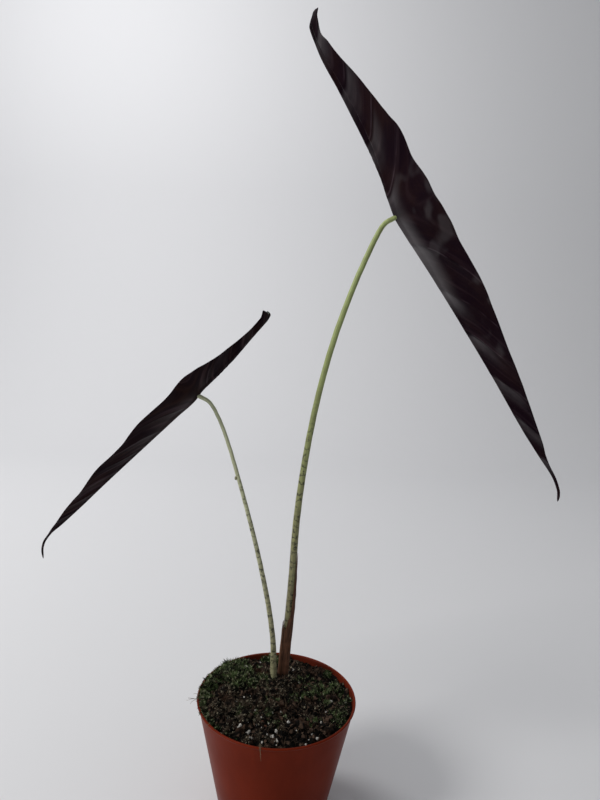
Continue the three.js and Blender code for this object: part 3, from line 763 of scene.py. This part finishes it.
def upper_skin(leaf, blade, name):
    """Deep glossy green with pale midrib, side veins and their hazy borders"""
    skin = Skin(name, Specular_IOR_Level=0.4)
    from_rib, from_vein, _ = vein_distances(skin, blade)
    fade = skin.noise(90)
    cloud = skin.noise(45, detail=4)
    net = skin.cells(260, skin.chart, feature="DISTANCE_TO_EDGE")
    vein_haze = from_vein.step(0.0006, 0.0052, 1, 0) * fade.step(0.35, 0.7)
    rib_haze = from_rib.step(0.0008, 0.0045, 1, 0) * fade.step(0.25, 0.6)
    green, pale = leaf.upper_green, leaf.upper_vein
    color = skin.layers(
        green,
        (cloud.step(0.3, 0.75) * 0.6, shade(green, 1.8)),
        (net.step(0.02, 0.1, 1, 0) * 0.3, shade(green, 2.2)),
        (vein_haze * 0.5 + rib_haze * 0.4, shade(pale, 0.3)),
        (from_vein.step(0.0005, 0.0013, 1, 0) * 0.7, shade(pale, 0.7)),
        (from_rib.step(0.0007, 0.0015, 1, 0) * 0.9, pale),
    )
    relief = skin.bump(net.step(0, 0.14), 0.00012, 0.35)
    return skin.finish(Base_Color=color, Roughness=cloud * 0.12 + 0.27, Normal=relief)


# Stems

def stem_skin(name, top, foot, dash, spacing, length, dash_end):
    """A satin petiole: plain at the top, cross-dashed and speckled lower down"""
    skin = Skin(name, Specular_IOR_Level=0.42)
    _, distance, _ = skin.parts(skin.chart)
    up = distance / length
    cloud = skin.noise(120, detail=4)
    fine = skin.noise(900)
    streak = skin.noise(700, skin.stretched(skin.place, (1, 1, 0.12)))
    # Rungs wander up and down round the stem, and break up where the mask is low
    wander = skin.noise(210) * 2.9 + fine * 0.5
    rung = abs((distance / spacing + wander).fraction() - 0.5)
    broken = skin.noise(330, detail=2).step(0.42, 0.52)
    fade = up.step(dash_end - 0.22, dash_end, 1, 0)
    rungs = rung.step(0.07, 0.15, 1, 0) * broken * fade
    halo = rung.step(0.1, 0.34, 1, 0) * fade * 0.32
    specks = skin.cells(620).step(0.12, 0.26, 1, 0) * skin.noise(150).step(0.5, 0.62) * fade
    color = skin.layers(
        foot,
        (up.step(0.15, 0.85), top),
        (cloud.step(0.35, 0.7) * 0.35, shade(foot, 0.62)),
        (streak.step(0.5, 0.75) * 0.28, shade(top, 1.5)),
        (halo, shade(dash, 3.2)),
        (specks * 0.7, dash),
        (rungs * 0.88, dash),
    )
    relief = skin.bump(streak + fine * 0.4 - rungs * 0.4, 0.00015, 0.45)
    return skin.finish(Base_Color=color, Roughness=cloud * 0.18 + 0.36, Normal=relief)


def stem_line(points, radii, samples, overrun):
    """Centres and radii of a petiole, in metres, with its end carried on into the blade"""
    places, share = smooth_line(points, samples)
    swell = np.interp(share, range(len(radii)), radii)
    onward = (places[-1] - places[-2]).normalized()
    places.append(places[-1] + onward * 0.6 * overrun)
    places.append(places[-1] + onward * 0.4 * overrun)
    swell = np.append(swell, [0.9 * swell[-1], 0.45 * swell[-1]])
    return [place * MM for place in places], swell * MM


def stem_mesh(points, radii, name, material, nub=None):
    """A petiole, slightly ribbed and uneven as a grown stem is"""
    centres, swell = stem_line(points, radii, samples=14, overrun=3.0)
    ridges = (0.02, 0.012, 0.02)

    def bumps(ring, turn):
        waves = [(2 + 3 * k) * turn + ring * (0.02 + 0.01 * k) for k in range(len(ridges))]
        uneven = sum(size * np.sin(wave) for size, wave in zip(ridges, waves))
        return 0.06 * MM * np.sin(ring * 0.9) * np.sin(turn + ring * 0.13) + uneven * 2.4 * MM

    bm = bmesh.new()
    lay_tube(bm, centres, swell, sides=26, bumps=bumps)
    close_shell(bm)
    if nub:
        made = bmesh.ops.create_icosphere(bm, subdivisions=2, radius=NUB_RADIUS)["verts"]
        bmesh.ops.scale(bm, verts=made, vec=(1, 1, 1.5))
        bmesh.ops.translate(bm, verts=made, vec=nub)
    return mesh_of(bm, name, [material])


# Operators

class ALOCASIA_OT_pot(bpy.types.Operator):
    """Turn the nursery pot and drill its drain holes"""

    bl_idname = "alocasia.pot"
    bl_label = "Nursery pot"

    holes = 8
    hole_radius = 0.0034
    hole_circle = 0.024

    def execute(self, context):
        pot = context.scene.alocasia_pot
        add_piece("nursery_pot", self.shell(pot), ["pot"])
        return {"FINISHED"}

    def profile(self, pot):
        """Half section of the pot from the middle of its underside, in metres"""
        base, lip = 40, 88.8
        slope = (58.6 - base) / lip
        wall = pot.wall / MM
        outside = [(base + slope * height, height) for height in (1.5, 30, 60, lip)]
        inside = [(base + slope * height - wall, height) for height in (60, 30, 6.5)]
        points = [
            (0, 0), (13, 0), (15.2, 2.2), (30.8, 2.2), (33, 0), (38.2, 0), (38.9, 0.25), *outside,
            (58.9, lip + 0.9), (59.25, lip + 1.5), (59.7, lip + 1.75), (59.95, lip + 2.15),
            (60, lip + 2.5), (59.9, lip + 2.85), (59.6, lip + 3.12), (59.2, lip + 3.2),
            (58.75, lip + 3.1), (58.4, lip + 2.8), (58.0, lip + 1.9), (57.6, lip + 0.6), *inside,
            (base + slope * 4.8 - wall - 1.6, 4.8), (0, 4.8),
        ]
        return [Vector((radius * MM, 0, height * MM)) for radius, height in points]

    def shell(self, pot):
        bm = bmesh.new()
        verts = [bm.verts.new(point) for point in self.profile(pot)]
        edges = [bm.edges.new(pair) for pair in zip(verts, verts[1:])]
        bmesh.ops.spin(
            bm, geom=verts + edges, cent=(0, 0, 0), axis=(0, 0, 1), angle=2 * math.pi,
            steps=pot.segments, use_merge=True,
        )
        close_shell(bm)
        body = bpy.data.objects.new("pot_body", mesh_of(bm, "pot_body", [self.plastic(pot)]))
        drills = bpy.data.objects.new("pot_drills", self.drills())
        for part in (body, drills):
            bpy.context.scene.collection.objects.link(part)
        cut = body.modifiers.new("drain holes", "BOOLEAN")
        cut.object = drills
        cut.solver = "EXACT"
        view = bpy.context.evaluated_depsgraph_get()
        mesh = bpy.data.meshes.new_from_object(body.evaluated_get(view))
        mesh.name = "nursery_pot"
        for part in (body, drills):
            bpy.data.objects.remove(part)
        return mesh

    def drills(self):
        bm = bmesh.new()
        for i in range(self.holes):
            angle = 2 * math.pi * (i + 0.5) / self.holes
            made = bmesh.ops.create_cone(
                bm, cap_ends=True, segments=32, radius1=self.hole_radius, radius2=self.hole_radius,
                depth=0.012,
            )["verts"]
            bmesh.ops.translate(bm, verts=made, vec=on_circle(self.hole_circle, angle, 0.0035))
        return mesh_of(bm, "pot_drills", [], smooth=False)

    def plastic(self, pot):
        """Terracotta plastic with flecks of soil near the rim, and painted shade inside the wall"""
        skin = Skin("terracotta plastic", Specular_IOR_Level=0.03)
        x, y, height = skin.parts(skin.place)
        from_axis = (x * x + y * y).root()
        # The inside of the wall gets a painted shade, a darker copy of the plastic
        inside = (from_axis - height * WALL_SLOPE - WALL_FOOT).step(-0.001, -0.0004, 1, 0)
        cloud = skin.noise(26, detail=4)
        streak = skin.noise(60, skin.stretched(skin.place, (3, 3, 0.25)))
        dust = skin.noise(420, detail=4).step(0.62, 0.72) * height.step(0.05, 0.09)
        dirt = skin.cells(95).step(0.05, 0.11, 1, 0) * skin.noise(31).step(0.55, 0.63)
        color = skin.layers(
            pot.plastic,
            (cloud.step(0.3, 0.72) * 0.5, shade(pot.plastic, 0.72)),
            (streak.step(0.45, 0.75) * 0.25, shade(pot.plastic, 1.3)),
            (dust * 0.05, (0.32, 0.16, 0.10)),
            # Painted shade on the inside of the wall
            (inside * (cloud * 0.5 + 0.35), (0.03, 0.008, 0.005)),
            (dirt * height.step(0.045, 0.08) * 0.75, (0.03, 0.016, 0.01)),
        )
        fine = skin.noise(1500, detail=2)
        roughness = cloud * 0.14 + streak * 0.1 + dust * 0.2 + 0.24
        relief = skin.bump(streak + fine * 0.12, 0.0002, 0.3)
        return skin.finish(Base_Color=color, Roughness=roughness, Normal=relief)


class Ground:
    """The peat's surface, for laying things on it"""

    shape = None

    @classmethod
    def below(cls, x, y):
        """The surface at a place, or nothing where a stem stands or the pot ends"""
        return cls.shape.ray_cast(Vector((x, y, 2 * RIM_HEIGHT)), Vector((0, 0, -1)))[0]


class ALOCASIA_OT_peat(bpy.types.Operator):
    """Break up the peat's surface and cover it with crumbs, bark and perlite"""

    bl_idname = "alocasia.peat"
    bl_label = "Peat"

    crumbs_on_rim = 60
    rim_band = (0.054, 0.0592)
    small_perlite = 64

    def execute(self, context):
        soil = context.scene.alocasia_soil
        material = self.moist_peat(soil)
        add_piece("peat_bed", self.bed(material), ["soil"])
        self.crumbs(soil, material)
        self.perlite()
        self.bark()
        return {"FINISHED"}

    def moist_peat(self, soil):
        """Near black, with brown fibrous patches"""
        skin = Skin("peat", Specular_IOR_Level=0.05)
        patch = skin.noise(55, detail=5, roughness=0.65)
        crumb = skin.cells(420, output="Color")
        grain = skin.noise(1100, detail=4, roughness=0.7)
        red = skin.node("ShaderNodeSeparateColor", {0: crumb})[0]
        color = skin.layers(
            soil.peat,
            (patch.step(0.5, 0.66) * 0.7, soil.peat_brown),
            (red.step(0.74, 0.94) * 0.8, (0.095, 0.06, 0.042)),
            (grain.step(0.6, 0.78) * 0.22, (0.14, 0.095, 0.06)),
        )
        relief = skin.bump(grain, 0.0006, 0.9)
        return skin.finish(Base_Color=color, Roughness=grain * 0.25 + 0.62, Normal=relief)

    def bed(self, material):
        """The packed soil with its top split into fine faces and roughened"""
        bm = bmesh.new()
        bm.from_mesh(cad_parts["soil"].data)
        bmesh.ops.remove_doubles(bm, verts=bm.verts, dist=WELD)
        lowest = RIM_HEIGHT - 0.013
        tops = [f for f in bm.faces if f.normal.z > 0.35 and f.calc_center_median().z > lowest]
        edges = list({edge for face in tops for edge in face.edges})
        bmesh.ops.subdivide_edges(bm, edges=edges, cuts=4, use_grid_fill=True)
        bmesh.ops.triangulate(bm, faces=[face for face in bm.faces if len(face.verts) > 4])
        bm.normal_update()
        upward = {v for f in bm.faces if f.normal.z > 0.3 for v in f.verts if v.co.z > lowest}
        for vert in upward:
            vert.co.z += self.roughness(vert.co)
        Ground.shape = BVHTree.FromBMesh(bm)
        return mesh_of(bm, "peat_bed", [material])

    def roughness(self, place):
        clods = 0.45 - noise.voronoi(place * 115 + Vector((3, 0, 0)))[0][0]
        coarse = 0.45 - noise.voronoi(place * 210)[0][0]
        fine = 0.45 - noise.voronoi(place * 620 + Vector((5, 5, 5)))[0][0]
        cloud = noise.fractal(place * 90, 1.0, 2.1, 3)
        return 0.0034 * clods + 0.0026 * coarse + 0.0009 * fine + 0.0011 * cloud

    def crumbs(self, soil, material):
        rng = random.Random(311)
        matrices = []
        while len(matrices) < soil.crumbs:
            radius = CRUMB_REACH * math.sqrt(rng.random())
            place = Ground.below(*on_circle(radius, rng.uniform(0, 2 * math.pi)).xy)
            size = 0.0005 + 0.0025 * rng.random() ** 3.4
            # Crumbs keep clear of the pot's wall
            if place and radius + 1.3 * size < WALL_FOOT - 0.0005 + WALL_SLOPE * place.z:
                stretch = [rng.uniform(0.7, 1.25) for _ in range(3)]
                matrices.append(turned_about(rng, place + Vector((0, 0, 0.25 * size)), size, stretch))
        for _ in range(self.crumbs_on_rim):
            angle = math.radians(rng.gauss(180, 34))
            radius = rng.uniform(*self.rim_band)
            size = rng.uniform(0.0004, 0.0011)
            place = on_circle(radius, angle, RIM_HEIGHT - 0.4 * size)
            matrices.append(turned_about(rng, place, size, (1, 0.8, 0.7)))
        scatter_on_peat("peat_crumbs", [lump(seed, 1, 0.9) for seed in range(7)], matrices, material)

    def perlite(self):
        rng = random.Random(52)
        matrices = []
        for pixel in PERLITE_PIXELS:
            place = seen_on(Ground.shape, pixel)
            size = rng.uniform(0.0008, 0.0015)
            if place:
                matrices.append(turned_about(rng, place + Vector((0, 0, 0.0011)), size, (1, 0.85, 0.75)))
        for _ in range(self.small_perlite):
            radius, angle = PERLITE_REACH * math.sqrt(rng.random()), rng.uniform(0, 2 * math.pi)
            place = Ground.below(*on_circle(radius, angle).xy)
            size = rng.uniform(0.0003, 0.0008)
            if place:
                matrices.append(turned_about(rng, place + Vector((0, 0, 0.001)), size))
        lumps = [lump(seed + 20, 2, 0.7) for seed in range(4)]
        white = plain_skin("perlite", (0.30, 0.28, 0.25), (0.66, 0.64, 0.60), 700, 0.75)
        scatter_on_peat("perlite_grains", lumps, matrices, white)

    def bark(self):
        rng = random.Random(9)
        matrices = []
        for pixel in BARK_PIXELS:
            place = seen_on(Ground.shape, pixel)
            if place:
                size = rng.uniform(0.0016, 0.0034)
                matrices.append(turned_about(rng, place + Vector((0, 0, 0.0008)), size, (1, 0.7, 0.35)))
        lumps = [lump(seed + 40, 2, 0.5) for seed in range(3)]
        brown = plain_skin("bark", (0.045, 0.017, 0.009), (0.13, 0.048, 0.026), 500, 0.7)
        scatter_on_peat("bark_chips", lumps, matrices, brown)


class ALOCASIA_OT_fibres(bpy.types.Operator):
    """Lay root and peat fibres over the surface and the rim"""

    bl_idname = "alocasia.fibres"
    bl_label = "Fibres"

    def execute(self, context):
        soil = context.scene.alocasia_soil
        rng = random.Random(77)
        dark = plain_skin("dark fibre", (0.018, 0.012, 0.008), (0.085, 0.05, 0.028), 300, 0.7)
        straw = plain_skin("straw fibre", (0.07, 0.048, 0.028), (0.21, 0.15, 0.09), 300, 0.6)
        self.lay("dark_fibres", dark, [self.wander(rng) for _ in range(int(0.93 * soil.fibres))], rng)
        strays = [self.wander(rng) for _ in range(int(0.07 * soil.fibres))]
        self.lay("straw_fibres", straw, strays + self.over_rim(), rng)
        return {"FINISHED"}

    def wander(self, rng):
        """A fibre that lies over the bumps of the surface"""
        radius, heading = FIBRE_START * math.sqrt(rng.random()), rng.uniform(0, 2 * math.pi)
        angle = rng.uniform(0, 2 * math.pi)
        x, y = radius * math.cos(angle), radius * math.sin(angle)
        step = rng.uniform(0.0007, 0.0019)
        lift = rng.uniform(0.0001, 0.0011)
        bend = rng.gauss(0, 0.16)
        places = []
        for k in range(5):
            ground = Ground.below(x, y)
            if not ground or math.hypot(x, y) > FIBRE_REACH:
                break
            arc = lift * math.sin(math.pi * k / 4) * 2.5
            places.append(ground + Vector((0, 0, 0.00015 + arc)))
            heading += bend + rng.gauss(0, 0.18)
            x += step * math.cos(heading)
            y += step * math.sin(heading)
        return places

    def over_rim(self):
        """Fibres that hang over the front of the rim, and the sprig past its left edge"""
        hanging = []
        for turn, drop, lean in ((-98.6, 9, 1.2), (-97.2, 6, -0.8), (-99.6, 4.5, 2)):
            outward = on_circle(1, math.radians(turn))
            sideways = Vector((-outward.y, outward.x, 0))
            tip = 91.4 - drop
            course = ((54, 91), (58.5, 93), (60.3, 91.4), (60.2, 91.4 - 0.5 * drop), (59.6, tip))
            hanging.append([
                (outward * radius + sideways * lean * k * 0.3 + Vector((0, 0, height))) * MM
                for k, (radius, height) in enumerate(course)
            ])
        sprigs = (
            (
                (-52, -11, 91.6), (-57, -12, 93.6), (-61, -12.6, 94), (-64.5, -13.3, 93.2),
                (-66.5, -13, 92.6),
            ),
            ((-60.6, -12.6, 93.9), (-63, -14, 95), (-65, -14.2, 95.4)),
            ((-59, -12.2, 93.7), (-62.2, -12.2, 91.4), (-63.6, -12.6, 89.4)),
            ((-55, -6, 92), (-59.5, -7, 94.2), (-62, -8.2, 94.8)),
        )
        return hanging + [[Vector(point) * MM for point in sprig] for sprig in sprigs]

    def lay(self, name, material, courses, rng):
        bm = bmesh.new()
        for course in courses:
            if len(course) < 3:
                continue
            places, share = smooth_line(course, 2)
            radius = rng.uniform(0.00009, 0.00024)
            taper = 1 - 0.6 * share / share[-1]
            lay_tube(bm, places, radius * taper, sides=5)
        close_shell(bm)
        add_piece(name, mesh_of(bm, name, [material]))


class ALOCASIA_OT_moss(bpy.types.Operator):
    """Grow moss in patches, thickest at the left and back, and dead tufts all over the peat"""

    bl_idname = "alocasia.moss"
    bl_label = "Moss"

    # Each patch: centre and half sizes in millimetres, how thick it grows and how tall
    PATCHES = (
        (-33, 24, 17, 19, 0.34, 1.1),
        (-41, 42, 9, 9, 0.11, 1.5),
        (-50, 12, 6, 16, 0.09, 1.1),
        (-12, 16, 12, 10, 0.08, 0.9),
        (-3, 52, 12, 5, 0.06, 1.2),
        (31, 14, 20, 16, 0.20, 0.9),
        (46, -9, 9, 14, 0.10, 0.9),
        (2, -14, 40, 34, 0.12, 0.7),
    )
    DRY_PATCHES = ((0, 0, 52, 52, 0.58, 0.9), (-36, -26, 22, 20, 0.24, 1.1), (-30, 20, 22, 24, 0.12, 1.1))
    tufts_in_clump = 16
    tuft_leaves = 11
    tuft_height = 0.0031
    rim_band = (0.0545, 0.059)

    def execute(self, context):
        soil = context.scene.alocasia_soil
        rng = random.Random(2024)
        green = self.colours("moss", shade(soil.moss, 0.1), soil.moss, (0.36, 0.39, 0.24))
        self.grow("moss", self.PATCHES, soil.moss_tufts, 0.16, green, rng)
        dry = self.colours("dry moss", (0.0035, 0.003, 0.0024), (0.08, 0.059, 0.041), (0.42, 0.37, 0.27))
        self.grow("dry_moss", self.DRY_PATCHES, soil.dry_tufts, 0.07, dry, rng)
        return {"FINISHED"}

    def grow(self, name, patches, tufts, over_rim, material, rng):
        """Clumps of tufts over the patches, and a share of the tufts over the left of the rim"""
        matrices = []
        for x, y, half_x, half_y, share, tall in patches:
            for _ in range(int(share * tufts / self.tufts_in_clump)):
                centre = (x + half_x * rng.gauss(0, 0.5), y + half_y * rng.gauss(0, 0.5))
                spread, rise = rng.uniform(0.9, 2.6), rng.uniform(0.7, 1.35)
                for _ in range(self.tufts_in_clump):
                    place = Ground.below(*(rng.gauss(value, spread) * MM for value in centre))
                    if place and math.hypot(place.x, place.y) < MOSS_REACH:
                        matrices.append(self.planted(rng, place, tall * rise))
        for _ in range(int(over_rim * tufts)):
            angle = math.radians(rng.gauss(176, 24))
            place = on_circle(rng.uniform(*self.rim_band), angle, RIM_HEIGHT - 0.0012)
            matrices.append(self.planted(rng, place, 0.75))
        scatter_on_peat(name, [self.tuft(seed) for seed in range(6)], matrices, material)

    def planted(self, rng, place, tall):
        """A matrix that stands a tuft on a place, with a random lean"""
        size = tall * rng.uniform(0.6, 1.5) * self.tuft_height
        tilt = Matrix.Rotation(rng.gauss(0, 0.6), 4, "X") @ Matrix.Rotation(rng.gauss(0, 0.6), 4, "Y")
        spin = Matrix.Rotation(rng.uniform(0, 2 * math.pi), 4, "Z")
        return Matrix.Translation(place) @ tilt @ spin @ Matrix.Scale(size, 4)

    def tuft(self, seed):
        """A shoot of unit height with narrow leaves that spread from it"""
        rng = random.Random(seed)
        bm = bmesh.new()
        for k in range(self.tuft_leaves):
            made = bmesh.ops.create_cone(
                bm, cap_ends=True, segments=3, radius1=0.12, radius2=0, depth=0.75,
            )["verts"]
            bmesh.ops.translate(bm, verts=made, vec=(0, 0, 0.37))
            bmesh.ops.scale(bm, verts=made, vec=(1, 0.45, rng.uniform(0.7, 1.2)))
            turn = Matrix.Rotation(2.4 * k, 3, "Z") @ Matrix.Rotation(rng.uniform(0.3, 1.3), 3, "X")
            bmesh.ops.rotate(bm, verts=made, matrix=turn, cent=(0, 0, 0))
            bmesh.ops.translate(bm, verts=made, vec=(0, 0, 0.05 * k - 0.1))
        return mesh_of(bm, "tuft", [], smooth=False)

    def colours(self, name, dark, light, tips):
        skin = Skin(name, Specular_IOR_Level=0.07)
        patch = skin.noise(210)
        fine = skin.noise(520, detail=2)
        color = skin.layers(
            dark, (patch.step(0.44, 0.6), light), (fine.step(0.56, 0.66) * 0.9, tips),
        )
        return skin.finish(Base_Color=color, Roughness=fine * 0.2 + 0.55)


class ALOCASIA_OT_rootstock(bpy.types.Operator):
    """Give the rhizome and its roots their corky skin"""

    bl_idname = "alocasia.rootstock"
    bl_label = "Rootstock"

    def execute(self, context):
        corky = plain_skin("rootstock", (0.20, 0.12, 0.06), (0.55, 0.42, 0.25), 160, 0.7)
        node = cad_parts["rhizome"]
        node.data.materials.clear()
        node.data.materials.append(corky)
        return {"FINISHED"}


class ALOCASIA_OT_petioles(bpy.types.Operator):
    """Draw the two petioles up from the soil to their blades"""

    bl_idname = "alocasia.petioles"
    bl_label = "Petioles"

    def execute(self, context):
        stem = context.scene.alocasia_stem
        spacing = stem.dash_spacing
        tall = stem_skin(
            "tall petiole", stem.tall_top, stem.tall_foot, stem.dash, spacing, length=0.372, dash_end=0.68,
        )
        short = stem_skin(
            "short petiole", stem.short_top, stem.short_foot, stem.dash, 0.8 * spacing, length=0.25,
            dash_end=0.78,
        )
        mesh = stem_mesh(TALL_STEM, TALL_STEM_RADII, "tall_petiole", tall)
        add_piece("tall_petiole", mesh, ["petiole_tall"])
        mesh = stem_mesh(SHORT_STEM, SHORT_STEM_RADII, "short_petiole", short, Vector(NUB) * MM)
        add_piece("short_petiole", mesh, ["petiole_short"])
        return {"FINISHED"}


class ALOCASIA_OT_sheath(bpy.types.Operator):
    """Wrap the dry sheath round the foot of the tall petiole"""

    bl_idname = "alocasia.sheath"
    bl_label = "Dry sheath"

    rows = 90
    columns = 72
    opening = 0.62
    tongue_angle = math.radians(-28)
    # Heights in millimetres: where the sheath starts, its long tongue, its shoulders, its back
    foot, tongue_top, shoulder, back = 82.5, 195.5, 140, 132

    def execute(self, context):
        stem = context.scene.alocasia_stem
        bm = bmesh.new()
        laid_grid(bm, *self.wrap())
        bmesh.ops.recalc_face_normals(bm, faces=bm.faces)
        bmesh.ops.solidify(bm, geom=bm.faces[:], thickness=0.0003)
        close_shell(bm)
        mesh = mesh_of(bm, "dry_sheath", [self.paper(stem)])
        add_piece("dry_sheath", mesh, ["sheath_tall"])
        return {"FINISHED"}

    def wrap(self):
        """Places of the sheath's middle, and its chart: the way round and the height"""
        line, share = smooth_line(TALL_STEM, 14)
        heights = [place.z for place in line]
        swell = np.interp(share, range(len(TALL_STEM_RADII)), TALL_STEM_RADII)
        sweep = math.pi - self.opening
        turn = np.linspace(-sweep, sweep, self.columns + 1)[None, :]
        up = np.linspace(0, 1, self.rows + 1)[:, None]
        tongue = np.exp(-((turn / 0.5) ** 2))
        edge = self.shoulder + (self.back - self.shoulder) * np.abs(turn) / math.pi
        edge = edge + 3 * np.sin(5 * turn) + 2 * np.sin(11 * turn + 1) + 1.2 * np.sin(37 * turn)
        top = edge + (self.tongue_top - edge) * tongue
        height = self.foot + (top - self.foot) * up
        x = np.interp(height, heights, [place.x for place in line])
        y = np.interp(height, heights, [place.y for place in line])
        folds = 0.14 * np.sin(17 * turn + height / 9) + 0.1 * np.sin(41 * turn)
        curl = 0.35 * smooth_step((height - top + 9) / 9) * (1 - tongue)
        reach = np.interp(height, heights, swell) + 0.62 + folds + curl
        angle = self.tongue_angle + turn
        places = np.stack([x + reach * np.cos(angle), y + reach * np.sin(angle), height], axis=-1)
        chart = np.stack(np.broadcast_arrays(turn * 3.6, height), axis=-1)
        return places * MM, chart * MM

    def paper(self, stem):
        skin = Skin("dry sheath", Specular_IOR_Level=0.25)
        grain = skin.noise(900, skin.stretched(skin.chart, (1, 0.07, 1)), detail=4)
        patch = skin.noise(80)
        _, height, _ = skin.parts(skin.chart)
        color = skin.layers(
            shade(stem.sheath, 0.45),
            (grain.step(0.35, 0.7), stem.sheath),
            (patch.step(0.5, 0.75) * 0.5, shade(stem.sheath, 1.9)),
            (height.step(0.15, 0.19) * 0.5, (0.045, 0.034, 0.016)),
        )
        relief = skin.bump(grain, 0.0004, 0.7)
        return skin.finish(Base_Color=color, Roughness=patch * 0.15 + 0.62, Normal=relief)


class ALOCASIA_OT_leaves(bpy.types.Operator):
    """Unroll the two folded blades"""

    bl_idname = "alocasia.leaves"
    bl_label = "Leaves"

    def execute(self, context):
        leaf = context.scene.alocasia_leaf
        for name, node, blade, brown, mauve, sheen in (
            ("tall_blade", "leaf_tall", TALL_BLADE, 0.25, 0.15, 1),
            ("short_blade", "leaf_short", SHORT_BLADE, 1.1, 0.5, 0.22),
        ):
            below = underside_skin(leaf, blade, f"{name} underside", brown, mauve, sheen)
            above = upper_skin(leaf, blade, f"{name} upper side")
            mesh = blade_mesh(blade, leaf, name, [below, above])
            add_piece(name, mesh, [node])
        return {"FINISHED"}


class ALOCASIA_OT_studio(bpy.types.Operator):
    """Set up the floor, the soft light and the camera"""

    bl_idname = "alocasia.studio"
    bl_label = "Studio"

    def execute(self, context):
        studio = context.scene.alocasia_studio
        self.backdrop(studio)
        self.surroundings(context.scene, studio)
        self.light("key", (-1.25, -0.55, 1.15), (0, 0, 0.3), 0.7, studio.key_power, (1, 0.99, 0.97))
        self.light("backdrop", (-0.9, 0.6, 1.9), (-0.5, 2, 0.6), 0.9, studio.backdrop_power, (1, 1, 1))
        self.camera(context.scene)
        return {"FINISHED"}

    # Half the floor's width, where it begins to sweep up, the sweep's radius and the wall's height
    floor_reach, sweep_start, sweep_radius, wall_height = 2.6, 1.15, 0.9, 2.2

    def backdrop(self, studio):
        """A floor that sweeps up behind the plant"""
        bm = bmesh.new()
        reach, start = self.floor_reach, self.sweep_start
        bmesh.ops.create_grid(bm, x_segments=1, y_segments=1, size=reach)
        back = [edge for edge in bm.edges if all(vert.co.y > 0 for vert in edge.verts)]
        bmesh.ops.translate(bm, verts=back[0].verts, vec=(0, start - reach, 0))
        swept = bmesh.ops.spin(
            bm, geom=back, cent=(0, start, self.sweep_radius), axis=(1, 0, 0), angle=math.pi / 2,
            steps=32,
        )["geom_last"]
        edge = [item for item in swept if isinstance(item, bmesh.types.BMEdge)]
        raised = bmesh.ops.extrude_edge_only(bm, edges=edge)["geom"]
        verts = [item for item in raised if isinstance(item, bmesh.types.BMVert)]
        bmesh.ops.translate(bm, verts=verts, vec=(0, 0, self.wall_height))
        skin = Skin("backdrop", Specular_IOR_Level=0.1)
        grain = skin.noise(30, detail=2)
        color = skin.layers(studio.floor, (grain * 0.04, (0.6, 0.6, 0.6)))
        material = skin.finish(Base_Color=color, Roughness=0.9)
        floor = bpy.data.objects.new("floor", mesh_of(bm, "floor", [material]))
        bpy.context.scene.collection.objects.link(floor)

    def surroundings(self, scene, studio):
        world = bpy.data.worlds.new("studio")
        world.use_nodes = True
        light = world.node_tree.nodes["Background"]
        light.inputs["Color"].default_value = (0.95, 0.97, 1, 1)
        light.inputs["Strength"].default_value = studio.sky
        scene.world = world
        scene.view_settings.view_transform = "Standard"

    def light(self, name, place, aim, size, power, color):
        """A soft round light that the camera doesn't see"""
        data = bpy.data.lights.new(name, "AREA")
        data.shape = "DISK"
        data.size = size
        data.energy = power
        data.color = color
        lamp = bpy.data.objects.new(name, data)
        lamp.location = place
        lamp.rotation_euler = (Vector(aim) - Vector(place)).to_track_quat("-Z", "Y").to_euler()
        lamp.visible_camera = False
        bpy.context.scene.collection.objects.link(lamp)

    def camera(self, scene):
        data = bpy.data.cameras.new("camera")
        data.sensor_width = SENSOR_MM
        data.lens = SENSOR_MM * FOCAL_PIXELS / IMAGE_HEIGHT
        data.clip_start = 0.01
        camera = bpy.data.objects.new("camera", data)
        camera.matrix_world = Matrix.Translation(CAMERA_PLACE) @ camera_turn().to_4x4()
        scene.collection.objects.link(camera)
        scene.camera = camera


OPERATORS = (
    ALOCASIA_OT_studio,
    ALOCASIA_OT_pot,
    ALOCASIA_OT_peat,
    ALOCASIA_OT_fibres,
    ALOCASIA_OT_moss,
    ALOCASIA_OT_rootstock,
    ALOCASIA_OT_petioles,
    ALOCASIA_OT_sheath,
    ALOCASIA_OT_leaves,
)


class ALOCASIA_PT_panel(bpy.types.Panel):
    """Lists the pieces of the plant"""

    bl_idname = "ALOCASIA_PT_panel"
    bl_label = "Potted alocasia"
    bl_space_type = "VIEW_3D"
    bl_region_type = "UI"
    bl_category = "Alocasia"

    def draw(self, context):
        for operator in OPERATORS:
            self.layout.operator(operator.bl_idname)
        for name in SETTINGS:
            group = getattr(context.scene, name)
            box = self.layout.box()
            for key in group.__annotations__:
                box.prop(group, key)


def register():
    for name, group in SETTINGS.items():
        bpy.utils.register_class(group)
        setattr(bpy.types.Scene, name, PointerProperty(type=group))
    for item in (*OPERATORS, ALOCASIA_PT_panel):
        bpy.utils.register_class(item)


def unregister():
    for item in reversed((*OPERATORS, ALOCASIA_PT_panel)):
        bpy.utils.unregister_class(item)
    for name, group in SETTINGS.items():
        delattr(bpy.types.Scene, name)
        bpy.utils.unregister_class(group)


def main():
    register()
    bpy.ops.alocasia.studio()
    bpy.ops.alocasia.pot()
    bpy.ops.alocasia.peat()
    bpy.ops.alocasia.fibres()
    bpy.ops.alocasia.moss()
    bpy.ops.alocasia.rootstock()
    bpy.ops.alocasia.petioles()
    bpy.ops.alocasia.sheath()
    bpy.ops.alocasia.leaves()


if __name__ == "__main__":
    main()
